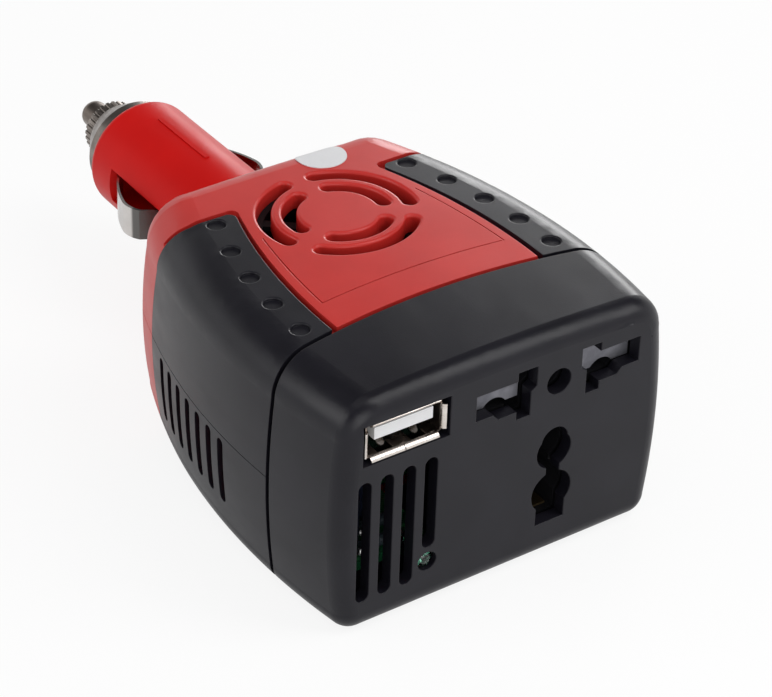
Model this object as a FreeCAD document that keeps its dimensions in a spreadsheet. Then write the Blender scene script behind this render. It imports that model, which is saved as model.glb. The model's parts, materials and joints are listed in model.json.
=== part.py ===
"""Plug-in car power inverter as an assembly of separate pieces.

Frame: millimetres, +Z up, +X to the right of someone facing the socket face, +Y from the socket
face back towards the plug.  The pieces are drawn with the socket face on y = 0, the underside on
z = 0 and the middle of the body on x = 0.  Each finished piece is then placed half an overall
length forward, so that the origin is the centre of the assembly's footprint.
"""
import FreeCAD
import Part
import Sketcher
import math
import os

V = FreeCAD.Vector
X_AXIS, Y_AXIS, Z_AXIS = V(1, 0, 0), V(0, 1, 0), V(0, 0, 1)

# Driving dimensions, in millimetres unless the name says degrees or count.
SIZES = {
    # body shell
    "body_length": 66.6, "face_width": 58.4, "belly_width": 63.0, "belly_back": 23.0,
    "body_height": 40.9, "height_peak_back": 10.0, "top_arch_radius": 1200.0,
    "flat_bottom_end": 40.0, "bottom_arch_radius": 200.0, "base_shave": 0.02,
    "side_crown": 1.0, "top_crown_front": 0.7, "top_crown_rear": 0.1,
    "top_corner_front": 6.0, "top_corner_rear": 8.0,
    "bottom_corner_front": 3.5, "bottom_corner_rear": 5.5,
    "face_edge_radius": 3.1, "rear_edge_radius": 6.0, "hollow_rear_radius": 3.4,
    "wall": 2.2, "face_wall": 2.2, "fit_gap": 0.05, "seam_gap": 0.12, "grip_thickness": 1.2,
    # front cap joint
    "cap_depth": 18.5, "cap_arc_radius": 157.0, "cap_gap": 0.8,
    "lip_thickness": 1.2, "lip_start": 12.6, "lip_reach": 3.0,
    # grips
    "grip_front_half": 18.7, "grip_mid_half": 17.9, "grip_rear_half": 13.9,
    "grip_mid_back": 35.1, "grip_rear_back": 53.5, "grip_side_back": 56.6, "grip_side_run": 6.5,
    "grip_corner_radius": 1.5, "groove_width": 0.9, "groove_reach": 4.5,
    "dot_radius": 1.45, "dot_depth": 0.45, "dot_first_back": 20.9, "dot_pitch": 7.75,
    "dot_inset": 3.6, "dot_count": 5,
    "scribe_inset": 2.3, "scribe_width": 0.25, "scribe_depth": 0.15, "scribe_back": 44.5,
    "scribe_front": 6.8,
    # side vents
    "side_vent_count": 7, "side_vent_first": 28.7, "side_vent_pitch": 3.73,
    "side_vent_width": 1.7, "side_vent_height": 11.8, "side_vent_drop": 1.3,
    # grille
    "grille_back": 44.9, "grille_outer": 12.6, "grille_ring_outer": 10.35,
    "grille_ring_inner": 8.7, "grille_disc": 6.45, "grille_spoke": 3.3, "grille_wall": 3.0,
    "grille_boss": 15.2, "grille_rounding": 0.5, "hole_rounding": 0.15, "dot_rounding": 0.25,
    # housing bosses and screws
    "boss_x_front": 15.5, "boss_back_front": 25.5, "boss_x_rear": 16.5, "boss_rear_inset": 6.6,
    "boss_radius": 2.9, "boss_foot_radius": 4.0, "screw_radius": 1.25, "screw_head_radius": 2.4,
    "screw_head_height": 1.6, "screw_recess": 3.2, "screw_length": 27.0,
    # universal socket, measured from its centre line
    "socket_x": 8.8, "socket_height": 32.3, "blade_inner": 5.1, "blade_top_inner": 4.1,
    "blade_outer": 7.5, "blade_top": 3.8, "blade_foot": 4.4, "bar_outer": 14.8, "bar_top": 2.3,
    "bar_bottom": 2.0, "bulge_bottom": 3.0, "bulge_outer": 10.8,
    "centre_hole_radius": 2.15, "centre_hole_drop": 0.3,
    "earth_top_radius": 2.4, "earth_top_drop": 11.0, "earth_mid_radius": 3.1,
    "earth_mid_drop": 12.7, "earth_neck_half": 1.2, "earth_low_radius": 3.6,
    "earth_low_drop": 20.2, "earth_slot_half": 2.6, "earth_slot_bottom": 25.8,
    # socket carrier and contacts
    "carrier_half_width": 15.8, "carrier_bottom": 5.0, "carrier_top": 36.8,
    "carrier_gap": 0.8, "carrier_depth": 9.3, "carrier_post_x": 12.0, "carrier_post_height": 12.0,
    "post_radius": 2.6, "post_end": 9.0,
    "leaf_thickness": 0.4, "leaf_inner": 5.6, "leaf_outer": 14.7, "leaf_top": 4.9, "leaf_foot": 2.2,
    "leaf_notch_radius": 2.4, "leaf_notch_x": 9.75, "leaf_notch_drop": 3.55,
    # USB port
    "usb_x": -18.05, "usb_height": 33.25, "usb_open_width": 14.9, "usb_open_height": 6.8,
    "usb_shell_width": 13.1, "usb_shell_height": 5.7, "usb_shell_depth": 14.0, "usb_sheet": 0.3,
    "usb_front": 0.1, "usb_tongue_width": 10.0, "usb_tongue_height": 2.0, "usb_tongue_gap": 0.5,
    "usb_lip_flare": 0.42, "usb_lip_split": 0.16, "usb_tab_x": 2.85, "usb_tab_width": 1.3,
    "usb_window_width": 2.6, "board_thin": 1.2,
    # face vents and lamp
    "face_vent_x": -25.0, "face_vent_pitch": 3.82, "face_vent_width": 2.2,
    "face_vent_top": 27.0, "face_vent_bottom": 5.65, "face_vent_last_bottom": 10.9,
    "lamp_x": -13.6, "lamp_height": 8.3, "lamp_radius": 1.5, "lamp_hole_radius": 1.6,
    # boards and parts
    "board_height": 6.0, "board_thickness": 1.6, "board_half_width": 20.5,
    "board_front": 21.5, "board_rear_inset": 5.1,
    # fan
    "fan_width": 25.0, "fan_depth": 8.0, "fan_bore": 11.6, "fan_hub": 6.0, "fan_tip_gap": 0.5,
    "fan_blades": 7, "fan_screw_half": 10.2, "fan_screw_radius": 1.0, "fan_shaft_radius": 0.75,
    "running_gap": 0.05,
    # round label on the rear edge
    "label_x": 7.4, "label_rear_inset": 5.6, "label_drop": 0.3, "label_lean": 14.0,
    "round_label_radius": 4.1, "label_thickness": 0.14,
    # plug
    "axis_height": 20.5, "barrel_radius": 9.9, "barrel_length": 39.4, "barrel_edge": 1.6,
    "barrel_land": 6.1, "barrel_draft": 0.15,
    "flange_lip": 2.6, "flange_thickness": 2.6, "flange_gap": 0.2, "fuse_bore": 3.5,
    "nose_bore": 7.2, "bore_seat": 6.4,
    "nose_bore_depth": 5.2, "rib_length": 15.1, "slot_inset": 7.2, "slot_length": 15.6,
    "slot_half": 3.1,
    "bore_skin": 1.0,
    "pocket_over": 1.4, "pocket_behind": 1.7, "skin": 1.5, "channel_depth": 1.2,
    "spring_sheet": 0.5, "spring_half": 2.8, "spring_rise": 3.1,
    "tip_flange_back": 3.8, "tip_flange_length": 1.8, "tip_flange_radius": 4.4,
    "tip_tail_length": 1.7, "tip_tail_radius": 3.0, "spring_wire": 0.35, "spring_turns": 4.5,
    "disc_thickness": 0.8, "nose_length": 9.8, "collar_radius": 8.4, "collar_length": 2.3,
    "cone_end_radius": 5.6,
    "cone_length": 4.8, "knurl_radius": 5.0, "knurl_count": 28, "tip_radius": 2.4,
    "tip_length": 7.0, "fuse_radius": 3.15, "fuse_length": 30.0,
    "fuse_cap_length": 6.0,
    # leads
    "lead_radius": 0.65,
}

doc = FreeCAD.newDocument("inverter")
sheet = doc.addObject("Spreadsheet::Sheet", "Sizes")
for row, (alias, value) in enumerate(SIZES.items(), start=1):
    sheet.set(f"A{row}", alias)
    sheet.set(f"B{row}", str(value))
    sheet.setAlias(f"B{row}", alias)
doc.recompute()


def size(name):
    """Value of a named cell of the sheet."""
    return float(sheet.get(name))


def value_of(text):
    """Number that an expression on the sheet gives."""
    return float(sheet.evalExpression(text.replace("Sizes.", "")))


# Derived stations and heights, as expressions on the sheet.
BARREL_END_TEXT = "(Sizes.body_length + Sizes.barrel_length)"
NOSE_END_TEXT = f"({BARREL_END_TEXT} + Sizes.nose_length)"
OVERALL = f"({NOSE_END_TEXT} + Sizes.tip_length)"
TIP_FLANGE_TEXT = f"({NOSE_END_TEXT} - Sizes.tip_flange_back)"
FUSE_END_TEXT = (f"({TIP_FLANGE_TEXT} - Sizes.tip_flange_length - Sizes.tip_tail_length"
                 " - 2 * Sizes.fit_gap)")
FUSE_START_TEXT = f"({FUSE_END_TEXT} - Sizes.fuse_length)"
FLANGE_START_TEXT = ("(Sizes.body_length - Sizes.wall - Sizes.flange_gap"
                     " - Sizes.flange_thickness)")
BORE_START_TEXT = f"({FLANGE_START_TEXT} + Sizes.bore_seat)"
SLOT_FRONT_TEXT = f"({BARREL_END_TEXT} - Sizes.slot_inset)"
SLOT_REAR_TEXT = f"({SLOT_FRONT_TEXT} - Sizes.slot_length)"
POCKET_FRONT_TEXT = f"({SLOT_FRONT_TEXT} + Sizes.pocket_over)"
POCKET_REAR_TEXT = f"({SLOT_REAR_TEXT} - Sizes.pocket_behind)"
CHANNEL_TEXT = "(Sizes.barrel_radius - Sizes.skin - Sizes.channel_depth)"
ROOT_RADIUS_TEXT = "(Sizes.barrel_radius + Sizes.barrel_draft)"
BOSS_REAR_TEXT = "(Sizes.body_length - Sizes.boss_rear_inset)"
BOARD_REAR_TEXT = "(Sizes.body_length - Sizes.board_rear_inset)"
CARRIER_FRONT_TEXT = "(Sizes.face_wall + Sizes.carrier_gap)"
CARRIER_BACK_TEXT = f"({CARRIER_FRONT_TEXT} + Sizes.carrier_depth)"
FAN_TOP_TEXT = ("(Sizes.body_height - Sizes.top_arch_radius + sqrt(Sizes.top_arch_radius ^ 2"
                " - (Sizes.grille_back - Sizes.height_peak_back) ^ 2) - Sizes.grille_wall"
                " - Sizes.fit_gap)")
BOARD_TOP_TEXT = "(Sizes.board_height + Sizes.board_thickness)"
USB_FLOOR_TEXT = "(Sizes.usb_height - Sizes.usb_shell_height / 2)"

AXIS = size("axis_height")
ROOT_RADIUS = value_of(ROOT_RADIUS_TEXT)
FLANGE_START, BORE_START = value_of(FLANGE_START_TEXT), value_of(BORE_START_TEXT)
SLOT_FRONT, SLOT_REAR = value_of(SLOT_FRONT_TEXT), value_of(SLOT_REAR_TEXT)
POCKET_FRONT, POCKET_REAR = value_of(POCKET_FRONT_TEXT), value_of(POCKET_REAR_TEXT)
CHANNEL, BOSS_REAR = value_of(CHANNEL_TEXT), value_of(BOSS_REAR_TEXT)
CARRIER_FRONT, CARRIER_BACK = value_of(CARRIER_FRONT_TEXT), value_of(CARRIER_BACK_TEXT)
FAN_TOP, BOARD_TOP = value_of(FAN_TOP_TEXT), value_of(BOARD_TOP_TEXT)
USB_FLOOR, FUSE_START = value_of(USB_FLOOR_TEXT), value_of(FUSE_START_TEXT)
HALF_SEAM = size("seam_gap") / 2
FAR = 200.0
RIM_BAND = 0.6
RIM_PROBES = 6
LABEL_PROBE = 12.0
NODES = []


def place(obj, label):
    """Name a finished piece and place it in the assembly's own frame."""
    obj.Label = label
    obj.setExpression("Placement.Base.y", f"-{OVERALL} / 2")
    NODES.append(obj)
    return obj


def add_feature(label, shape):
    """Finished piece whose shape is made by Part functions."""
    obj = doc.addObject("Part::Feature", label)
    obj.Shape = shape
    return place(obj, label)


def bind(obj, **expressions):
    """Tie properties of an object to expressions on the sheet."""
    for name, text in expressions.items():
        obj.setExpression(name, text)
    return obj


def move_to(obj, x="0", y="0", z="0"):
    """Tie an object's position to expressions on the sheet."""
    for axis_name, text in (("x", x), ("y", y), ("z", z)):
        obj.setExpression(f"Placement.Base.{axis_name}", text)
    return obj


def box(name, length, width, height, x="0", y="0", z="0"):
    """Box object with bound sizes; x, y, z is its lowest corner."""
    obj = doc.addObject("Part::Box", name)
    bind(obj, Length=length, Width=width, Height=height)
    return move_to(obj, x, y, z)


def cylinder(name, radius, height, x="0", y="0", z="0", along="z"):
    """Cylinder object with bound sizes, from x, y, z along the named axis."""
    obj = doc.addObject("Part::Cylinder", name)
    bind(obj, Radius=radius, Height=height)
    turn = {"x": FreeCAD.Rotation(Y_AXIS, 90), "y": FreeCAD.Rotation(X_AXIS, -90),
            "z": FreeCAD.Rotation()}[along]
    obj.Placement.Rotation = turn
    return move_to(obj, x, y, z)


def fuse(name, parts):
    """Union of several objects."""
    obj = doc.addObject("Part::MultiFuse", name)
    obj.Shapes = parts
    return obj


def cut(name, base, tools):
    """Base object without the tool objects."""
    obj = doc.addObject("Part::Cut", name)
    obj.Base = base
    obj.Tool = tools[0] if len(tools) == 1 else fuse(name + "_tools", tools)
    return obj


def group(name, parts):
    """Several separate solids kept as one piece list entry."""
    obj = doc.addObject("Part::Compound", name)
    obj.Links = parts
    return obj


def s(name):
    """Reference to a cell inside an expression."""
    return "Sizes." + name


# --------------------------------------------------------------------------- shell surfaces

def arc_drop(distance, radius):
    """How far a circle of this radius falls away at a distance from its crest."""
    return radius - math.sqrt(radius ** 2 - distance ** 2)


PLAN_RADIUS = ((size("belly_back") ** 2 + ((size("belly_width") - size("face_width")) / 2) ** 2)
               / (size("belly_width") - size("face_width")))


def blend(y, front, rear):
    """Size that changes evenly from the face to the rear of the body."""
    return size(front) + (size(rear) - size(front)) * y / size("body_length")


def half_width(y):
    """Half width of the body at mid height."""
    return size("belly_width") / 2 - arc_drop(y - size("belly_back"), PLAN_RADIUS)


def top_height(y):
    """Height of the top on the centre line."""
    return size("body_height") - arc_drop(y - size("height_peak_back"), size("top_arch_radius"))


def bottom_height(y):
    """Height of the underside, flat up to where it starts to rise."""
    return (arc_drop(max(y - size("flat_bottom_end"), 0.0), size("bottom_arch_radius"))
            - size("base_shave"))


def top_crown(y):
    """How far the top falls from its centre line to its corners."""
    return blend(y, "top_crown_front", "top_crown_rear")


def surface_height(x, y):
    """Height of the top surface beside the centre line."""
    reach = half_width(y) - size("side_crown") - blend(y, "top_corner_front", "top_corner_rear")
    return top_height(y) - top_crown(y) * (x / reach) ** 2


def section(y, inset):
    """Closed wire across the body: four crowned sides joined by four round corners."""
    side = half_width(y) - inset
    corner_x = side - size("side_crown")
    crown = top_height(y) - inset
    top = crown - top_crown(y)
    bottom = bottom_height(y) + inset
    r_top = blend(y, "top_corner_front", "top_corner_rear") - inset
    r_low = blend(y, "bottom_corner_front", "bottom_corner_rear") - inset * 0.8
    mid = (top - r_top + bottom + r_low) / 2
    q = math.sqrt(0.5)
    top_x, top_z = corner_x - r_top, top - r_top
    low_x, low_z = corner_x - r_low, bottom + r_low
    half = [((low_x, bottom), (low_x + q * r_low, low_z - q * r_low), (corner_x, low_z)),
            ((corner_x, low_z), (side, mid), (corner_x, top_z)),
            ((corner_x, top_z), (top_x + q * r_top, top_z + q * r_top), (top_x, top))]
    arcs = half + [((top_x, top), (0, crown), (-top_x, top))]
    arcs += [tuple((-x, z) for x, z in reversed(points)) for points in reversed(half)]
    edges = [Part.Arc(*[V(x, y, z) for x, z in points]).toShape() for points in arcs]
    edges.append(Part.LineSegment(V(-low_x, y, bottom), V(low_x, y, bottom)).toShape())
    return Part.Wire(edges)


def body_loft(inset, front, rear):
    """Solid through the body's sections between two stations, set in by a distance."""
    steps = 12
    stations = [front + (rear - front) * k / steps for k in range(steps + 1)]
    return Part.makeLoft([section(y, inset) for y in stations], True, False)


def round_end(solid, y, radius):
    """Round the edges that bound the flat end at y."""
    rim = [e for e in solid.Edges
           if abs(e.BoundBox.YMin - y) < 1e-3 and abs(e.BoundBox.YMax - y) < 1e-3]
    return solid.makeFillet(radius, rim)


def round_rims(solid, radius, wanted):
    """Round every edge whose points all answer to a test."""
    rims = [e for e in solid.Edges if all(wanted(p) for p in e.discretize(RIM_PROBES))]
    return solid.makeFillet(radius, rims)


def hollow(inset):
    """Space left inside the body at a distance under its surface."""
    front = size("face_wall") if inset >= size("wall") else inset
    rear = size("body_length") - inset
    return round_end(body_loft(inset, front, rear), rear, size("hollow_rear_radius"))


def prism(points, z_low, z_high):
    """Upright prism over a plan outline of points; a middle point of a triple makes an arc."""
    edges = []
    for item in points:
        ends = [V(x, y, z_low) for x, y in item]
        edge = Part.LineSegment(*ends) if len(ends) == 2 else Part.Arc(*ends)
        edges.append(edge.toShape())
    return Part.Face(Part.Wire(edges)).extrude(V(0, 0, z_high - z_low))


def block(x_low, x_high, y_low, y_high, z_low, z_high):
    """Axis-aligned box between limits."""
    return Part.makeBox(x_high - x_low, y_high - y_low, z_high - z_low, V(x_low, y_low, z_low))


def cap_cylinder(shift):
    """Upright cylinder whose wall is the joint between front cap and housings."""
    radius = size("cap_arc_radius")
    return Part.makeCylinder(radius + shift, 3 * FAR, V(0, size("cap_depth") - radius, -FAR))


def grip_plan(sign, spread, z_low, z_high):
    """Plan region of one grip, grown by spread towards the panel and the rear."""
    front_y = -10.0
    inner_front = size("grip_front_half") - spread
    inner_mid = size("grip_mid_half") - spread
    inner_rear = size("grip_rear_half") - spread
    start_y = size("cap_depth") - 4.0
    rear = size("grip_rear_back") + spread
    r = size("grip_corner_radius")
    bend_x = size("grip_front_half") + 2.3
    outer = size("belly_width")
    slope = (size("grip_side_back") - size("grip_rear_back")) / size("grip_side_run")
    far_rear = rear + 0.3 + slope * (outer - bend_x)
    points = [((inner_front, front_y), (inner_front, start_y)),
              ((inner_front, start_y), (inner_mid, size("grip_mid_back")), (inner_rear, rear - r)),
              ((inner_rear, rear - r), (inner_rear + 0.2 * r, rear - 0.25 * r),
               (inner_rear + r, rear)),
              ((inner_rear + r, rear), (bend_x, rear + 0.3)),
              ((bend_x, rear + 0.3), (outer, far_rear)),
              ((outer, far_rear), (outer, front_y)),
              ((outer, front_y), (inner_front, front_y))]
    mirrored = [tuple((sign * x, y) for x, y in item) for item in points]
    return prism(mirrored, z_low, z_high)


def arc_slot(inner, outer, start, end, z_low, z_high):
    """Ring-shaped slot with round ends about the grille's centre, angles in degrees."""
    middle, half = (inner + outer) / 2, (outer - inner) / 2
    inset = math.degrees(half / middle)

    def at(radius, angle):
        turn = math.radians(angle)
        return (radius * math.cos(turn), size("grille_back") + radius * math.sin(turn))

    first, last, centre = start + inset, end - inset, (start + end) / 2
    return prism([(at(outer, first), at(outer, centre), at(outer, last)),
                  (at(outer, last), at(middle, end), at(inner, last)),
                  (at(inner, last), at(inner, centre), at(inner, first)),
                  (at(inner, first), at(middle, start), at(outer, first))], z_low, z_high)


def slot_block(width, height, depth, centre, normal):
    """Upright round-ended slot cutter, centred on a point and running along an axis."""
    straight = height - width
    start = centre - normal * (depth / 2)
    side = normal.cross(Z_AXIS)
    corner = start - side * (width / 2) - Z_AXIS * (straight / 2)
    face = Part.makePolygon([corner, corner + side * width, corner + side * width
                             + Z_AXIS * straight, corner + Z_AXIS * straight, corner])
    cutter = Part.Face(face).extrude(normal * depth)
    for end in (-1, 1):
        cutter = cutter.fuse(Part.makeCylinder(width / 2, depth,
                                               start + Z_AXIS * (end * straight / 2), normal))
    return cutter


def outer_solid():
    """Whole outer form of the body, its end edges rounded and its base shaved flat."""
    whole = body_loft(0, 0, size("body_length"))
    whole = round_end(whole, 0, size("face_edge_radius"))
    whole = round_end(whole, size("body_length"), size("rear_edge_radius"))
    return whole.cut(block(-FAR, FAR, -FAR, FAR, -FAR, 0.0))


OUTER = outer_solid()
HOLLOW = hollow(size("wall"))
UNDER_GRIPS = body_loft(size("grip_thickness") + size("fit_gap"), -1.0, size("body_length") + 1.0)
INNER_LIMIT = body_loft((size("grip_thickness") + size("wall")) / 2, 0.5,
                        size("body_length") - 1.0)
REAR_ZONE = OUTER.cut(cap_cylinder(size("cap_gap")))


def housing_bosses():
    """Centres of the four screw bosses on the underside plan."""
    front = (size("boss_x_front"), size("boss_back_front"))
    rear = (size("boss_x_rear"), BOSS_REAR)
    return [(sign * x, y) for x, y in (front, rear) for sign in (-1, 1)]


def grip_recess(sign):
    """Room for the grips of one side, with the grooves along the panel and the rear."""
    top_band = block(-FAR, FAR, -FAR, FAR, size("body_height") - size("groove_reach"), FAR)
    low_band = block(-FAR, FAR, -FAR, FAR, -FAR, size("groove_reach"))
    wide = grip_plan(sign, size("groove_width"), -FAR, FAR).common(top_band.fuse(low_band))
    return grip_plan(sign, size("fit_gap"), -FAR, FAR).fuse(wide).cut(UNDER_GRIPS)


RECESSES = [grip_recess(sign) for sign in (-1, 1)]


def half_space(upper):
    """Space above or below the seam between the two housings, a hair short of it."""
    if upper:
        return block(-FAR, FAR, -FAR, FAR, AXIS + HALF_SEAM, FAR)
    return block(-FAR, FAR, -FAR, FAR, -FAR, AXIS - HALF_SEAM)


def housing_shell(upper):
    """One half of the red shell with its recesses for the grips and the plug's hole."""
    shell = REAR_ZONE.cut(HOLLOW).common(half_space(upper))
    for recess in RECESSES:
        shell = shell.cut(recess)
    hole = Part.makeCylinder(ROOT_RADIUS + size("fit_gap"), FAR,
                             V(0, FLANGE_START, AXIS), Y_AXIS)
    return shell.cut(hole)


def grille_slots(z_low, z_high):
    """Six round-ended slots in two rings, between three spokes."""
    slots = []
    rings = [(size("grille_ring_outer"), size("grille_outer")),
             (size("grille_disc"), size("grille_ring_inner"))]
    for inner, outer in rings:
        spoke = math.degrees(size("grille_spoke") / (inner + outer))
        for start in (90, 210, 330):
            slots.append(arc_slot(inner, outer, start + spoke, start + 120 - spoke,
                                  z_low, z_high))
    return slots


def scribe_line():
    """Fine line cut into the red panel, parallel to the grips and to the cap joint."""
    skin = OUTER.cut(body_loft(size("scribe_depth"), -1.0, size("body_length") + 1.0))
    skin = skin.common(half_space(True))
    near, far = size("scribe_inset"), size("scribe_inset") + size("scribe_width")
    front = cap_cylinder(size("scribe_front"))
    reach = block(-FAR, FAR, -FAR, size("scribe_back"), -FAR, FAR)
    sides = []
    inside = reach
    for sign in (-1, 1):
        wide = grip_plan(sign, far, -FAR, FAR)
        sides.append(wide.cut(grip_plan(sign, near, -FAR, FAR)).common(reach).cut(front))
        inside = inside.cut(wide)
    line = cap_cylinder(size("scribe_front") + size("scribe_width")).cut(front).common(inside)
    return skin.common(sides[0].fuse([sides[1], line]))


def make_upper_housing():
    """Red upper shell: fan grille, screw bosses, plug rib and scribed line."""
    shell = housing_shell(True)
    top = top_height(size("grille_back"))
    roof = Part.makeCylinder(size("grille_boss"), FAR,
                             V(0, size("grille_back"), top - size("grille_wall")))
    adds = [roof.common(INNER_LIMIT)]
    tip = size("screw_recess") + size("screw_length")
    for x, y in housing_bosses():
        post = Part.makeCylinder(size("boss_radius"), FAR, V(x, y, AXIS + HALF_SEAM))
        adds.append(post.common(INNER_LIMIT))
    rib = block(-6.0, 6.0, FLANGE_START - 1.7, FLANGE_START - 0.2,
                AXIS + ROOT_RADIUS, FAR)
    adds.append(rib.common(INNER_LIMIT))
    shell = shell.fuse(adds)
    cuts = grille_slots(top - 2 * size("grille_wall"), top + 1.0)
    for x, y in housing_bosses():
        cuts.append(Part.makeCylinder(size("screw_radius") + size("fit_gap"),
                                      tip + 1.0 - AXIS, V(x, y, AXIS)))
    for x, y in fan_corners():
        cuts.append(Part.makeCylinder(size("fan_screw_radius") + size("fit_gap"), 1.8,
                                      V(x, y, top - size("grille_wall") - 0.1)))
    shell = shell.cut(cuts)

    def on_slot_rim(p):
        reach = math.hypot(p.x, p.y - size("grille_back"))
        return (size("grille_disc") - RIM_BAND < reach < size("grille_outer") + RIM_BAND
                and p.z > top - size("grille_wall") / 2)

    shell = round_rims(shell, size("grille_rounding"), on_slot_rim)
    return shell.cut(scribe_line())


def make_lower_housing():
    """Red lower shell: board posts, screw holes, side vents and the rating recess."""
    shell = housing_shell(False)
    adds = []
    for x, y in housing_bosses():
        post = Part.makeCylinder(size("boss_radius"), AXIS - HALF_SEAM, V(x, y, 0))
        foot = Part.makeCylinder(size("boss_foot_radius"), size("board_height"), V(x, y, 0))
        adds.append(post.fuse(foot).common(INNER_LIMIT))
    shell = shell.fuse(adds)
    cuts = [side_vents(-1), side_vents(1)]
    for x, y in housing_bosses():
        cuts.append(Part.makeCylinder(size("screw_radius") + 4 * size("fit_gap"), AXIS,
                                      V(x, y, 0)))
        cuts.append(Part.makeCylinder(size("screw_head_radius") + 4 * size("fit_gap"),
                                      size("screw_recess") + 1.0, V(x, y, -1.0)))
    cuts.append(block(-11.0, 11.0, 30.0, 56.0, -1.0, 0.3))
    return shell.cut(cuts)


def side_vents(sign):
    """Cutter for the row of upright vents in one side."""
    height = size("side_vent_height")
    middle = AXIS - size("side_vent_drop") - height / 2 + size("side_vent_width") / 4
    cutters = []
    for k in range(int(size("side_vent_count"))):
        y = size("side_vent_first") + k * size("side_vent_pitch")
        centre = V(sign * (half_width(y) - 1.0), y, middle)
        cutters.append(slot_block(size("side_vent_width"), height, 7.0, centre, X_AXIS))
    return cutters[0].fuse(cutters[1:])


def inner_edge(y):
    """Half width of the red panel at a station: the grips' curved inner edge."""
    circle = Part.Circle(V(size("grip_front_half"), size("cap_depth") - 4.0, 0),
                         V(size("grip_mid_half"), size("grip_mid_back"), 0),
                         V(size("grip_rear_half"),
                           size("grip_rear_back") - size("grip_corner_radius"), 0))
    return circle.Center.x + math.sqrt(circle.Radius ** 2 - (y - circle.Center.y) ** 2)


def make_grip(sign, upper):
    """Black grip of one side, above or below the seam."""
    shell = REAR_ZONE.cut(body_loft(size("grip_thickness"), -1.0, size("body_length") + 1.0))
    grip = shell.common(grip_plan(sign, 0.0, -FAR, FAR)).common(half_space(upper))
    if not upper:
        return grip.cut(side_vents(sign))
    for k in range(int(size("dot_count"))):
        y = size("dot_first_back") + k * size("dot_pitch")
        x = sign * (inner_edge(y) + size("dot_inset"))
        surface = surface_height(x, y)
        floor = surface - size("dot_depth")
        grip = grip.cut(Part.makeCylinder(size("dot_radius"), 5.0, V(x, y, floor)))

        def on_dot_rim(p):
            across = math.hypot(p.x - x, p.y - y)
            return across < size("dot_radius") + 0.01 and p.z > surface - size("dot_depth") / 2

        grip = round_rims(grip, size("dot_rounding"), on_dot_rim)
    return grip


# --------------------------------------------------------------------------- socket face

def socket_outline(grow):
    """Solids of every socket hole, through the face, at their own size plus grow."""
    x0, z0 = size("socket_x"), size("socket_height")
    inner, upper_inner = size("blade_inner"), size("blade_top_inner")
    blade, bar = size("blade_outer"), size("bar_outer")
    top, foot = size("blade_top"), size("blade_foot")
    step = 0.45
    points = [(inner - grow, -foot - grow), (inner - grow, -0.2), (upper_inner - grow, step),
              (upper_inner - grow, top + grow), (blade + grow, top + grow),
              (blade + grow, size("bar_top") + grow), (bar + grow, size("bar_top") + grow),
              (bar + grow, -size("bar_bottom") - grow),
              (size("bulge_outer") + 0.9 + grow, -size("bar_bottom") - grow),
              (size("bulge_outer") + grow, -size("bulge_bottom") - grow),
              (blade + grow, -size("bulge_bottom") - grow), (blade + grow, -foot - grow)]
    depth = CARRIER_BACK + 2.0
    solids = []
    for sign in (-1, 1):
        corners = [V(x0 + sign * x, -1.0, z0 + z) for x, z in points]
        face = Part.Face(Part.makePolygon(corners + corners[:1]))
        solids.append(face.extrude(V(0, depth, 0)))
    low = [("earth_top_radius", "earth_top_drop"), ("earth_mid_radius", "earth_mid_drop"),
           ("earth_low_radius", "earth_low_drop")]
    earth = [Part.makeCylinder(size(r) + grow, depth, V(x0, -1.0, z0 - size(drop)), Y_AXIS)
             for r, drop in low]
    neck, slot = size("earth_neck_half") + grow, size("earth_slot_half") + grow
    earth.append(block(x0 - neck, x0 + neck, -1.0, depth - 1.0, z0 - size("earth_low_drop"),
                       z0 - size("earth_mid_drop")))
    earth.append(block(x0 - slot, x0 + slot, -1.0, depth - 1.0,
                       z0 - size("earth_slot_bottom") - grow, z0 - size("earth_low_drop")))
    solids.append(earth[0].fuse(earth[1:]))
    return solids


def centre_hole(depth):
    """Round hole between the two blade slots."""
    centre = V(size("socket_x"), -1.0, size("socket_height") - size("centre_hole_drop"))
    return Part.makeCylinder(size("centre_hole_radius"), depth + 1.0, centre, Y_AXIS)


def face_vents():
    """Cutters for the four upright vents beside the socket, the last one shorter."""
    cutters = []
    for k in range(4):
        x = size("face_vent_x") + k * size("face_vent_pitch")
        low = size("face_vent_last_bottom") if k == 3 else size("face_vent_bottom")
        height = size("face_vent_top") - low
        centre = V(x, size("face_wall") / 2, low + height / 2)
        cutters.append(slot_block(size("face_vent_width"), height, 4.0, centre, Y_AXIS))
    return cutters


def carrier_posts():
    """Centres, in x and z, of the two posts that hold the socket carrier."""
    return [(size("socket_x") + sign * size("carrier_post_x"), size("carrier_post_height"))
            for sign in (-1, 1)]


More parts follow.
